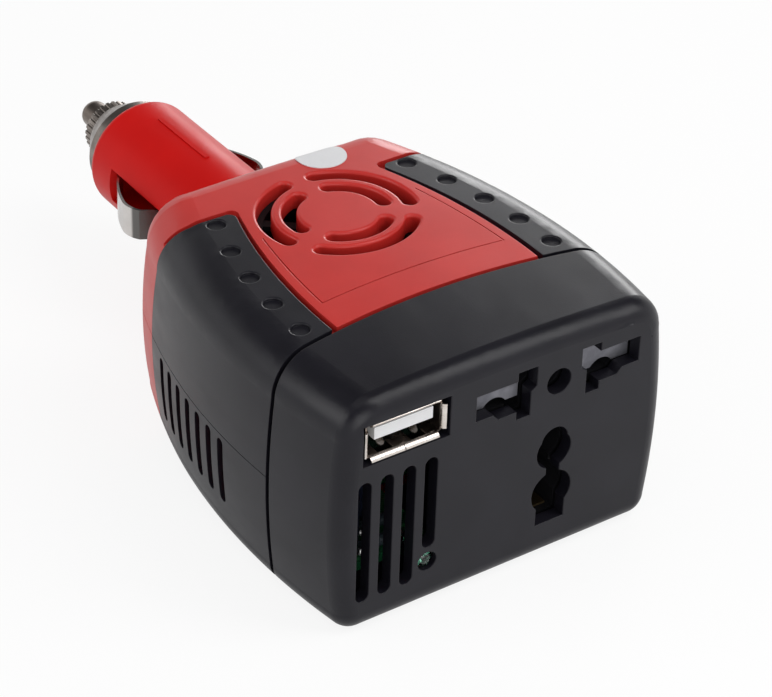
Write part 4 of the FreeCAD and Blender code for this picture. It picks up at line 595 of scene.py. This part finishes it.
NODE_FINISHES = {
    "plug_barrel": Moulded("plug_moulding", (0.575, 0.0062, 0.0050), (0.535, 0.0054, 0.0045),
                           0.36, 0.05, grain=0.35, depth=0.002, specular=0.12),
    "nose_cap": Plated("worn_nickel", (0.31, 0.275, 0.25), (0.17, 0.145, 0.13), 0.28, 0.06),
    "tip_contact": Plated("tip_nickel", (0.24, 0.20, 0.175), (0.15, 0.125, 0.11), 0.29, 0.06),
    # The left earth spring's leg past its bend is painted dark: a painted dark reflection, not tarnish.
    "ground_spring_left": Plated("spring_strip_left", (0.66, 0.64, 0.62), (0.58, 0.56, 0.54),
                                 0.16, 0.05, painted_dark_span=(25.4, 24.8)),
    "usb_board": CircuitBoard("port_board_lacquer", (0.004, 0.012, 0.008), (0.008, 0.03, 0.016)),
}


class Wardrobe:
    """Makes each finish's material once and hands it out."""

    def __init__(self) -> None:
        """Start with no material made."""
        self.made: dict[str, bpy.types.Material] = {}

    def of(self, slot: str) -> bpy.types.Material:
        """Material of a slot of the record."""
        if slot not in self.made:
            self.made[slot] = FINISHES[slot].material()
        return self.made[slot]

    def dress(self, node: str, slot: str) -> None:
        """Give one node of the assembly its own finish, or that of its slot."""
        own = NODE_FINISHES.get(node)
        mesh = frame["nodes"][node].data
        mesh.materials.clear()
        mesh.materials.append(own.material() if own else self.of(slot))


WARDROBE = Wardrobe()


# ------------------------------- mesh writing


def add_piece(name: str, mesh: bmesh.types.BMesh, body: Body, slot: str,
              replaces: Iterable[str] = (), finish: str | None = None) -> bpy.types.Object:
    """Turn a mesh in millimetres into a piece of the object.

    Args:
        name: the piece's name.
        mesh: its faces, in the row's frame.
        body: what it moves with.
        slot: the record's material slot.
        replaces: nodes that it stands for.
        finish: key of its finish, where that isn't the slot's own.

    Returns:
        The new object.
    """
    bmesh.ops.remove_doubles(mesh, verts=mesh.verts, dist=WELD_METRES)
    bmesh.ops.recalc_face_normals(mesh, faces=mesh.faces)
    mesh.transform(Matrix.Scale(MM, 4))
    limit = math.radians(SMOOTH_ANGLE)
    for edge in mesh.edges:
        edge.smooth = len(edge.link_faces) == 2 and edge.calc_face_angle(math.pi) < limit
    for face in mesh.faces:
        face.smooth = True
    data = bpy.data.meshes.new(name)
    mesh.to_mesh(data)
    mesh.free()
    data.materials.append(WARDROBE.of(finish or slot))
    piece = bpy.data.objects.new(name, data)
    bpy.context.collection.objects.link(piece)
    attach(piece, body.value)
    if replaces:
        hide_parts(*replaces)
    LOG.info("piece %s: %d faces on %s", name, len(data.polygons), body.value)
    return piece


def span(node: str) -> tuple[Vector, Vector]:
    """Lowest and highest corner of a node in millimetres."""
    low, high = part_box(node)
    return low / MM, high / MM


def turn(mesh: bmesh.types.BMesh, profile: Outline, centre: Vector, along: Along,
         steps: int = 48) -> None:
    """Add a closed surface of revolution.

    Args:
        mesh: where the faces go.
        profile: radius against distance along the axis, from one pole to the other.
        centre: point on the axis that distances are measured from.
        along: the axis.
        steps: faces round it.
    """
    axis, first, second = (along.way(onward) for onward in range(3))
    rings = []
    for radius, distance in profile:
        at = centre + axis * distance
        if radius < POLE_RADIUS:
            rings.append([mesh.verts.new(at)])
            continue
        ring = []
        for k in range(steps):
            angle = 2 * math.pi * k / steps
            ring.append(mesh.verts.new(at + (first * math.cos(angle)
                                             + second * math.sin(angle)) * radius))
        rings.append(ring)
    for near, far in zip(rings, rings[1:]):
        for k in range(steps):
            corners = [near[k % len(near)], near[(k + 1) % len(near)],
                       far[(k + 1) % len(far)], far[k % len(far)]]
            face = list(dict.fromkeys(corners))
            if len(face) > 2:
                mesh.faces.new(face)


def tube(mesh: bmesh.types.BMesh, path: Sequence[Vector], radius: float, sides: int = 10,
         closed: bool = False, upright: Along = Along.Z) -> None:
    """Add a round tube along a path.

    Args:
        mesh: where the faces go.
        path: centre line.
        radius: radius of the tube.
        sides: faces round it.
        closed: whether the last point joins the first.
        upright: the axis that the tube's rings are set up by.
    """
    count = len(path)
    rings = []
    up = upright.way()
    for k, point in enumerate(path):
        before = path[k - 1] if closed or k else point
        after = path[(k + 1) % count] if closed or k < count - 1 else point
        run = (after - before).normalized()
        side = run.cross(up)
        if side.length < NEARLY_UPRIGHT:
            side = run.cross(Along.Y.way())
        side.normalize()
        lift = side.cross(run)
        rings.append([mesh.verts.new(point + (side * math.cos(a) + lift * math.sin(a)) * radius)
                      for a in (2 * math.pi * s / sides for s in range(sides))])
    pairs = list(zip(rings, rings[1:]))
    if closed:
        pairs.append((rings[-1], rings[0]))
    for near, far in pairs:
        for s in range(sides):
            mesh.faces.new([near[s], near[(s + 1) % sides], far[(s + 1) % sides], far[s]])
    if not closed:
        mesh.faces.new(rings[0][::-1])
        mesh.faces.new(rings[-1])


def soft_block(mesh: bmesh.types.BMesh, low: Vector, high: Vector, rounding: float,
               segments: int = 2) -> None:
    """Add a box with rounded edges.

    Args:
        mesh: where the faces go.
        low: its lowest corner.
        high: its highest corner.
        rounding: radius of its edges.
        segments: faces across each rounding.
    """
    made = bmesh.ops.create_cube(mesh, size=1.0)["verts"]
    bmesh.ops.scale(mesh, verts=made, vec=high - low)
    bmesh.ops.translate(mesh, verts=made, vec=(low + high) / 2)
    edges = list({edge for vert in made for edge in vert.link_edges})
    bmesh.ops.bevel(mesh, geom=edges, offset=rounding, segments=segments, affect="EDGES",
                    profile=0.5)


def prism(mesh: bmesh.types.BMesh, outline: Sequence[Vector], run: Vector) -> None:
    """Add a closed prism.

    Args:
        mesh: where the faces go.
        outline: its flat outline at one end.
        run: way from that end to the other.
    """
    near = [mesh.verts.new(point) for point in outline]
    far = [mesh.verts.new(point + run) for point in outline]
    mesh.faces.new(near)
    mesh.faces.new(far[::-1])
    for k in range(len(near)):
        following = (k + 1) % len(near)
        mesh.faces.new([near[k], near[following], far[following], far[k]])


def ribbon(mesh: bmesh.types.BMesh, rail: Sequence[Vector], halves: Sequence[float],
           thickness: float) -> None:
    """Add a flat strip that runs along a rail in the YZ plane.

    Args:
        mesh: where the faces go.
        rail: middle of its upper side.
        halves: half its width at each point of the rail.
        thickness: thickness downward.
    """
    rings = []
    drop = Along.Z.way() * thickness
    for point, half in zip(rail, halves):
        side = Along.X.way() * half
        rings.append([mesh.verts.new(corner) for corner in
                      (point - side, point + side, point + side - drop, point - side - drop)])
    for near, far in zip(rings, rings[1:]):
        for k in range(4):
            mesh.faces.new([near[k], near[(k + 1) % 4], far[(k + 1) % 4], far[k]])
    mesh.faces.new(rings[0][::-1])
    mesh.faces.new(rings[-1])


def rounded_path(x: float, y: float, half_x: float, half_y: float, corner: float,
                 height: float) -> list[Vector]:
    """Points round a level rounded rectangle.

    Args:
        x: its centre across.
        y: its centre along.
        half_x: half its width.
        half_y: half its length.
        corner: radius of its corners.
        height: its height.

    Returns:
        The points in order.
    """
    points = []
    for quarter, (sx, sy) in enumerate(((1, 1), (-1, 1), (-1, -1), (1, -1))):
        for k in range(CORNER_STEPS + 1):
            angle = math.pi / 2 * (quarter + k / CORNER_STEPS)
            points.append(Vector((x + sx * (half_x - corner) + corner * math.cos(angle),
                                  y + sy * (half_y - corner) + corner * math.sin(angle),
                                  height)))
    return points


def islands(node: str) -> list[tuple[Vector, Vector]]:
    """Boxes in millimetres of the separate patches of faces in one node, in no fixed order."""
    held = frame["nodes"][node]
    mesh = bmesh.new()
    mesh.from_mesh(held.data)
    mesh.transform(held.matrix_world)
    left, boxes = set(mesh.verts), []
    while left:
        group, edge = set(), [left.pop()]
        while edge:
            vert = edge.pop()
            group.add(vert)
            near = {link.other_vert(vert) for link in vert.link_edges} & left
            left -= near
            edge += near
        low, high = (Vector([pick(vert.co[k] for vert in group) for k in range(3)]) / MM
                     for pick in (min, max))
        boxes.append((low, high))
    mesh.free()
    return boxes


# ------------------------------- sub-assemblies


class Assembly:
    """Every node of the assembly, which keeps its shape and gets its finish."""

    def build(self) -> None:
        """Dress each node with its own finish, or with that of its slot."""
        for entry in frame["record"]["subparts"]:
            WARDROBE.dress(entry["node"], entry["material_slot"])
            LOG.info("dressed %s as %s", entry["node"], entry["material_slot"])


@dataclass
class UsbPort:
    """Folded shell of the USB port: walls, rolled lips, floor windows and sprung tabs.

    Attributes:
        sheet: thickness of the sheet.
        sheet_edge: rounding of its edges.
        lip_depth: how far the lips stand out in front of the walls.
        lip_turn: degrees that a lip turns through.
        lip_bend: radius inside that turn.
        lip_nose: how far a lip's rounded end reaches past it.
        lip_steps: faces along the turn.
        corner_gap: gap between a lip and the shell's corner.
        split: gap between the two halves of the lower lip.
        seam_half: half the gap between the floor's halves.
        front_bar: width of the floor in front of its windows.
        lap: how far two pieces of the floor reach into each other.
        tab_offset: place of a tab from the middle.
        tab_half: half a tab's width.
        tab_share: a tab's thickness as a share of the sheet's.
        tab_rail: way back, rise and share of the width along a tab.
        window_half: half a window's width.
        window_reach: how far the windows reach back.
    """

    sheet: float = 0.3
    sheet_edge: float = 0.04
    lip_depth: float = 0.9
    lip_turn: float = 75.0
    lip_bend: float = 0.55
    lip_nose: float = 0.08
    lip_steps: int = 8
    corner_gap: float = 0.75
    split: float = 0.14
    seam_half: float = 0.04
    front_bar: float = 0.25
    lap: float = 0.05
    tab_offset: float = 2.85
    tab_half: float = 0.65
    tab_share: float = 0.8
    tab_rail: tuple[Triple, ...] = (
        (7.8, 0.0, 1.0), (5.8, 0.42, 1.0), (4.2, 0.82, 1.0), (3.5, 0.9, 1.0),
        (2.9, 0.76, 0.97), (2.4, 0.55, 0.88), (2.1, 0.43, 0.70), (1.9, 0.36, 0.35),
    )
    window_half: float = 1.3
    window_reach: float = 7.6

    def __post_init__(self) -> None:
        """Take the walls' place from the shell's own box."""
        low, high = span("usb_shell")
        flare = self.lip_bend - self.lip_bend * math.cos(math.radians(self.lip_turn))
        self.low = Vector((low.x + flare, low.y, low.z + flare))
        self.high = Vector((high.x - flare, high.y, high.z - flare))
        self.mouth = low.y + self.lip_depth
        self.centre = (self.low.x + self.high.x) / 2

    def wall(self, mesh: bmesh.types.BMesh, low: Triple, high: Triple) -> None:
        """Add one flat piece of sheet between two corners."""
        soft_block(mesh, Vector(low), Vector(high), self.sheet_edge, 1)

    def lip(self, mesh: bmesh.types.BMesh, outward: Vector, edge: Vector, run: Vector) -> None:
        """Add one rolled lip.

        Args:
            mesh: where the faces go.
            outward: direction that the lip turns to.
            edge: one end of the wall's outer front edge.
            run: way along that edge to the other end.
        """
        forward = -Along.Y.way()
        centre = edge + outward * self.lip_bend
        near, far = [], []
        for k in range(self.lip_steps + 1):
            angle = math.radians(self.lip_turn) * k / self.lip_steps
            ray = forward * math.sin(angle) - outward * math.cos(angle)
            near.append(centre + ray * self.lip_bend)
            far.append(centre + ray * (self.lip_bend + self.sheet))
        ahead = (near[-1] - near[-2]).normalized()
        nose = (near[-1] + far[-1]) / 2 + ahead * self.lip_nose
        prism(mesh, near + [nose] + far[::-1], run)

    def tab(self, mesh: bmesh.types.BMesh, across: float) -> None:
        """Add one sprung tab that rises from the floor and ends in a round tip."""
        floor = self.low.z + self.sheet
        front = self.mouth - self.lip_depth
        upper = [Vector((across, front + back, floor + rise)) for back, rise, _ in self.tab_rail]
        halves = [self.tab_half * share for *_, share in self.tab_rail]
        ribbon(mesh, upper, halves, self.sheet * self.tab_share)

    def build(self) -> None:
        """Build the shell in place of the plain one, its walls in a darker painted-shade copy of the nickel, and
        its bright lips and tabs.
        """
        mesh = bmesh.new()
        low, high, mouth = self.low, self.high, self.mouth
        rear, thick = high.y, self.sheet
        window_end = mouth - self.lip_depth + self.window_reach
        self.wall(mesh, (low.x, mouth, high.z - thick), (high.x, rear, high.z))
        for side in (low.x, high.x - thick):
            self.wall(mesh, (side, mouth, low.z), (side + thick, rear, high.z))
        self.wall(mesh, (low.x, rear - thick, low.z), (high.x, rear, high.z))
        edges = [low.x]
        for sign in (-1, 1):
            middle_x = self.centre + sign * self.tab_offset
            edges += [middle_x - self.window_half, middle_x + self.window_half]
        edges += [high.x]
        for left, right in zip(edges[::2], edges[1::2]):
            self.wall(mesh, (left, mouth + self.front_bar - self.lap, low.z),
                      (right, window_end, low.z + thick))
        for left, right in ((low.x, self.centre - self.seam_half),
                            (self.centre + self.seam_half, high.x)):
            self.wall(mesh, (left, mouth, low.z), (right, mouth + self.front_bar, low.z + thick))
            self.wall(mesh, (left, window_end - self.lap, low.z), (right, rear, low.z + thick))
        # The walls get the painted-shade copy of the nickel; the lips and tabs keep the bright one.
        add_piece("usb_port_shell", mesh, Body.HOUSING, "nickel", ["usb_shell"], "shell_inside_painted_shade")
        bright = bmesh.new()
        self.build_lips(bright)
        for sign in (-1, 1):
            self.tab(bright, self.centre + sign * self.tab_offset)
        add_piece("usb_port_lips", bright, Body.HOUSING, "nickel")

    def build_lips(self, mesh: bmesh.types.BMesh) -> None:
        """Add the four lips, the lower one in two halves."""
        low, high, mouth, gap = self.low, self.high, self.mouth, self.corner_gap
        up, across = Along.Z.way(), Along.X.way()
        width, height = high.x - low.x - 2 * gap, high.z - low.z - 2 * gap
        half = (width - self.split) / 2
        self.lip(mesh, up, Vector((low.x + gap, mouth, high.z)), across * width)
        self.lip(mesh, -up, Vector((low.x + gap, mouth, low.z)), across * half)
        self.lip(mesh, -up, Vector((high.x - gap - half, mouth, low.z)), across * half)
        self.lip(mesh, -across, Vector((low.x, mouth, low.z + gap)), up * height)
        self.lip(mesh, across, Vector((high.x, mouth, low.z + gap)), up * height)


@dataclass
class Canister:
    """Bare metal discs on top of electrolytic capacitors, each with a crossed vent line.

    Attributes:
        node: the node that holds the capacitors.
        number: how many discs are laid.
        disc_share: radius of a disc as a share of the capacitor's.
        rim_share: the same where the disc's edge bulges.
        disc_drop: how far a disc's face lies below the capacitor's top.
        edge_drop: how far its edge's middle lies below it.
        foot_drop: how far its foot lies below it.
        vent_share: half the length of a vent line as a share of the capacitor's radius.
        vent_radius: half the width of that line.
    """

    node: str
    number: int
    disc_share: float = 0.80
    rim_share: float = 0.83
    disc_drop: float = 0.02
    edge_drop: float = 0.1
    foot_drop: float = 0.2
    vent_share: float = 0.6
    vent_radius: float = 0.02

    def build(self) -> None:
        """Lay a disc inside the edge of each capacitor's sleeve."""
        parts = sorted(islands(self.node), key=lambda box: box[0].x)
        for count, (low, high) in enumerate(parts[:self.number]):
            radius, top = (high.x - low.x) / 2, high.z
            face, foot = top - self.disc_drop, top - self.foot_drop
            axis = Vector(((low.x + high.x) / 2, (low.y + high.y) / 2, 0.0))
            mesh = bmesh.new()
            turn(mesh, [(0.0, foot), (radius * self.disc_share, foot),
                        (radius * self.rim_share, top - self.edge_drop),
                        (radius * self.disc_share, face), (0.0, face)], axis, Along.Z)
            centre = axis + Along.Z.way() * face
            for line in (Along.X, Along.Y):
                reach = line.way() * radius * self.vent_share
                tube(mesh, [centre - reach, centre + reach], self.vent_radius, 6)
            add_piece(f"{self.node}_top_{count}", mesh, Body.HOUSING, "aluminium")


@dataclass
class Windings:
    """Turns of enamelled wire on the transformer, one above the other round a solid core.

    Attributes:
        wire: radius of the wire.
        corner: radius of a turn's corners.
        slack: gap between the turns and the plain block's sides.
        swell: how far a turn stands out or in.
        ripple: how fast that changes from turn to turn.
        core_edge: rounding of the core's edges.
    """

    wire: float = 0.32
    corner: float = 1.6
    slack: float = 0.06
    swell: float = 0.05
    ripple: float = 2.4
    core_edge: float = 0.8

    def build(self) -> None:
        """Wind rounded turns from the lowest to the highest, in place of the plain block."""
        low, high = span("transformer_windings")
        mesh = bmesh.new()
        turns = int((high.z - low.z) / (2 * self.wire)) - 1
        half = (high - low) / 2
        centre = (low + high) / 2
        for count in range(turns + 1):
            height = low.z + self.wire * (1 + 2 * count)
            inset = self.wire + self.slack - self.swell * math.sin(self.ripple * count)
            path = rounded_path(centre.x, centre.y, half.x - inset, half.y - inset,
                                self.corner, height)
            tube(mesh, path, self.wire, 8, closed=True)
        inward = Vector((2 * self.wire, 2 * self.wire, 0.0))
        soft_block(mesh, low + inward, high - inward, self.core_edge)
        add_piece("transformer_turns", mesh, Body.HOUSING, "copper_wire",
                  ["transformer_windings"])


@dataclass
class PlugSpring:
    """Coil spring behind the fuse.

    Attributes:
        wire: radius of its wire.
        turns: turns from end to end.
        steps: points on one turn.
    """

    wire: float = 0.35
    turns: float = 4.5
    steps: int = 32

    def build(self) -> None:
        """Wind the coil, give it its own mesh and read how far the tip can be pressed."""
        low, high = span("plug_spring")
        centre = (low + high) / 2
        radius = (high.x - low.x) / 2 - self.wire
        length = high.y - low.y
        count = int(self.turns * self.steps)
        path = []
        for k in range(count + 1):
            angle = 2 * math.pi * k / self.steps
            path.append(Vector((centre.x + radius * math.cos(angle),
                                low.y + self.wire + (length - 2 * self.wire) * k / count,
                                centre.z - radius * math.sin(angle))))
        mesh = bmesh.new()
        tube(mesh, path, self.wire, upright=Along.Y)
        coil = add_piece("plug_spring_coil", mesh, Body.HOUSING, "spring_steel", ["plug_spring"])
        travel = next(joint["range_m"][1] for joint in frame["joints"]
                      if joint["name"] == "tip_press")
        1.0 - travel / (length * MM)
        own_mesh(coil)


@dataclass
class BoardDetails:
    """Bent legs of the controller and solder fillets by the resistors.

    Attributes:
        pitch: spacing of the legs.
        leg: radius of a leg.
        leg_bends: way out past the controller's side and height above the board, along a leg.
        foot: radius of a fillet on the board.
        waist: radius where it turns upward.
        waist_rise: height of that turn.
        neck: radius at its top.
        height: height of that top.
        tip: height of the point above it.
        stand: distance of a fillet from its resistor.
    """

    pitch: float = 1.27
    leg: float = 0.13
    leg_bends: tuple[tuple[float, float], ...] = (
        (-0.3, 0.8), (0.35, 0.8), (0.6, 0.65), (0.7, 0.35), (0.95, 0.14), (1.4, 0.13),
    )
    foot: float = 0.75
    waist: float = 0.45
    waist_rise: float = 0.2
    neck: float = 0.28
    height: float = 0.7
    tip: float = 0.05
    stand: float = 0.2

    def build(self) -> None:
        """Set legs along both sides of the controller and fillets by the resistors."""
        board_top = span("main_board")[1].z
        self.build_legs(board_top)
        self.build_fillets(board_top)

    def build_legs(self, board_top: float) -> None:
        """Add a row of legs along each long side of the controller, down to the board."""
        low, high = span("controller_chip")
        centre, half = (low + high) / 2, (high - low) / 2
        row, out = (Along.Y, Along.X) if half.y > half.x else (Along.X, Along.Y)
        count = int((high - low)[row.value] / self.pitch) - 1
        mesh = bmesh.new()
        for k in range(count):
            along = centre[row.value] + (k - (count - 1) / 2) * self.pitch
            for side in (-1, 1):
                path = []
                for past, rise in self.leg_bends:
                    point = Vector((0.0, 0.0, board_top + rise))
                    point[row.value] = along
                    point[out.value] = centre[out.value] + side * (half[out.value] + past)
                    path.append(point)
                tube(mesh, path, self.leg, 6)
        add_piece("controller_legs", mesh, Body.HOUSING, "steel_zinc")

    def build_fillets(self, board_top: float) -> None:
        """Add solder fillets on the board by the ends of the resistors."""
        profile = [(0.0, board_top), (self.foot, board_top),
                   (self.waist, board_top + self.waist_rise),
                   (self.neck, board_top + self.height),
                   (0.0, board_top + self.height + self.tip)]
        mesh = bmesh.new()
        for low, high in islands("board_resistors"):
            for x in (low.x - self.stand, high.x + self.stand):
                turn(mesh, profile, Vector((x, (low.y + high.y) / 2, 0.0)), Along.Z, 16)
        add_piece("resistor_joints", mesh, Body.HOUSING, "steel_zinc")


# ------------------------------- studio


@dataclass(frozen=True)
class Softbox:
    """One soft rectangular lamp.

    Attributes:
        name: its name.
        place: its centre in millimetres.
        size: its width and height in millimetres.
        watts: its power.
    """

    name: str
    place: Triple
    size: tuple[float, float]
    watts: float

    def build(self, target: Vector) -> None:
        """Hang the lamp and turn it to a target in millimetres."""
        data = bpy.data.lights.new(self.name, "AREA")
        data.shape = "RECTANGLE"
        data.size, data.size_y = self.size[0] * MM, self.size[1] * MM
        data.energy = self.watts
        lamp = bpy.data.objects.new(self.name, data)
        lamp.location = Vector(self.place) * MM
        lamp.rotation_euler = (target * MM - lamp.location).to_track_quat("-Z", "Y").to_euler()
        bpy.context.collection.objects.link(lamp)


@dataclass
class Studio:
    """Pale floor, soft lamps, even surroundings and the camera.

    Attributes:
        floor_reach: radius of the floor.
        floor_colour: its colour.
        floor_shade: its darkest tone as a share of that colour.
        floor_patch: size of a patch of that tone.
        floor_drop: how far it lies below the object's underside.
        glow_share: how far the floor shows white instead of its own shade.
        mirror_share: the same for what reflections show.
        surround: strength of the surroundings as a light.
        ceiling: strength that reflections show overhead.
        rise: height of a direction at which the ceiling starts and is full.
        azimuth: degrees that the camera stands to the left of the socket face.
        elevation: degrees that it looks down.
        roll: degrees that it leans.
        lens: its focal length.
        sensor: width of its sensor.
        eye: where it stands.
        clip: nearest and farthest distance that it shows, in metres.
        target: point that the lamps turn to.
        lamps: the lamps.
    """

    floor_reach: float = 3000.0
    floor_colour: Colour = (0.90, 0.90, 0.90)
    floor_shade: float = 0.985
    floor_patch: float = 40.0
    floor_drop: float = 0.02
    glow_share: float = 0.86
    mirror_share: float = 0.35
    surround: float = 0.36
    ceiling: float = 0.10
    rise: tuple[float, float] = (0.28, 0.58)
    azimuth: float = 35.496
    elevation: float = 34.242
    roll: float = 1.955
    lens: float = 130.64
    sensor: float = 36.0
    eye: Triple = (-205.473, -318.283, 263.764)
    clip: tuple[float, float] = (0.01, 10.0)
    target: Triple = (0.0, -20.0, 20.0)
    lamps: tuple[Softbox, ...] = (
        Softbox("overhead", (-120.0, 0.0, 620.0), (420.0, 420.0), 0.36),
        Softbox("front_right", (270.0, -300.0, 480.0), (240.0, 560.0), 1.8),
        Softbox("front_left", (-190.0, -540.0, 250.0), (400.0, 360.0), 1.1),
        Softbox("back_right", (455.0, 375.0, 155.0), (260.0, 170.0), 0.92),
        Softbox("left", (-480.0, 120.0, 260.0), (300.0, 300.0), 0.75),
    )

    def build_floor(self) -> None:
        """Round pale floor that keeps the shadow and shows white."""
        mesh = bmesh.new()
        bmesh.ops.create_circle(mesh, cap_ends=True, segments=64,
                                radius=self.floor_reach * MM)
        data = bpy.data.meshes.new("floor")
        mesh.to_mesh(data)
        mesh.free()
        make = Shader("floor_paper")
        shade = tuple(part * self.floor_shade for part in self.floor_colour)
        tone = make.blend(make.noise(self.floor_patch, 3.0), shade, self.floor_colour)
        make.finish(Base_Color=tone, Roughness=0.9, Specular_IOR_Level=0.1)
        glow = make.node("ShaderNodeEmission", None, {"Strength": 1.0})
        seen = make.ray("Camera").larger(make.ray("Transmission")) * self.glow_share
        share = seen.larger(make.ray("Glossy") * self.mirror_share)
        paper = Value(make, make.principled.outputs[0])
        mixed = make.node("ShaderNodeMixShader", None, {0: share, 1: paper, 2: glow})
        make.link(mixed, "Material Output", "Surface")
        data.materials.append(make.material)
        floor = bpy.data.objects.new("floor", data)
        floor.location = (0.0, 0.0, -self.floor_drop * MM)
        bpy.context.collection.objects.link(floor)

    def build_surround(self) -> None:
        """Even surroundings that show white at eye level and darker overhead."""
        world = bpy.data.worlds.new("surround")
        bpy.context.scene.world = world
        world.use_nodes = True
        make = NodeSheet(world.node_tree)
        way = make.node("ShaderNodeTexCoord", output="Generated")
        rise = make.node("ShaderNodeSeparateXYZ", None, {0: way}, 2).step(*self.rise)
        sky = make.ray("Camera").larger(1.0 - (1.0 - self.ceiling) * rise)
        strength = self.surround + make.shown() * (sky - self.surround)
        make.tree.nodes["Background"].inputs["Color"].default_value = (1.0, 1.0, 1.0, 1.0)
        make.link(strength, "Background", "Strength")

    def build_camera(self) -> None:
        """Camera in front of the object and to its left, looking down at it."""
        data = bpy.data.cameras.new("camera")
        data.lens, data.sensor_width = self.lens, self.sensor
        data.clip_start, data.clip_end = self.clip
        camera = bpy.data.objects.new("camera", data)
        camera.matrix_world = (Matrix.Translation(Vector(self.eye) * MM)
                               @ Matrix.Rotation(-math.radians(self.azimuth), 4, "Z")
                               @ Matrix.Rotation(math.radians(90.0 - self.elevation), 4, "X")
                               @ Matrix.Rotation(math.radians(self.roll), 4, "Z"))
        bpy.context.collection.objects.link(camera)
        bpy.context.scene.camera = camera

    def build(self) -> None:
        """Set up the whole studio."""
        bpy.context.scene.view_settings.view_transform = "Standard"
        self.build_camera()
        self.build_floor()
        self.build_surround()
        for lamp in self.lamps:
            lamp.build(Vector(self.target))


def main() -> None:
    """Build the studio and dress every sub-assembly in order."""
    logging.basicConfig(level=logging.INFO, format="%(name)s: %(message)s")
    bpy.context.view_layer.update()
    parts = (Studio(), Assembly(), UsbPort(), Canister("input_capacitor", 1),
             Canister("small_capacitors", 3), Windings(), PlugSpring(), BoardDetails())
    for part in parts:
        part.build()
        LOG.info("%s is ready", type(part).__name__)


if __name__ == "__main__":
    main()
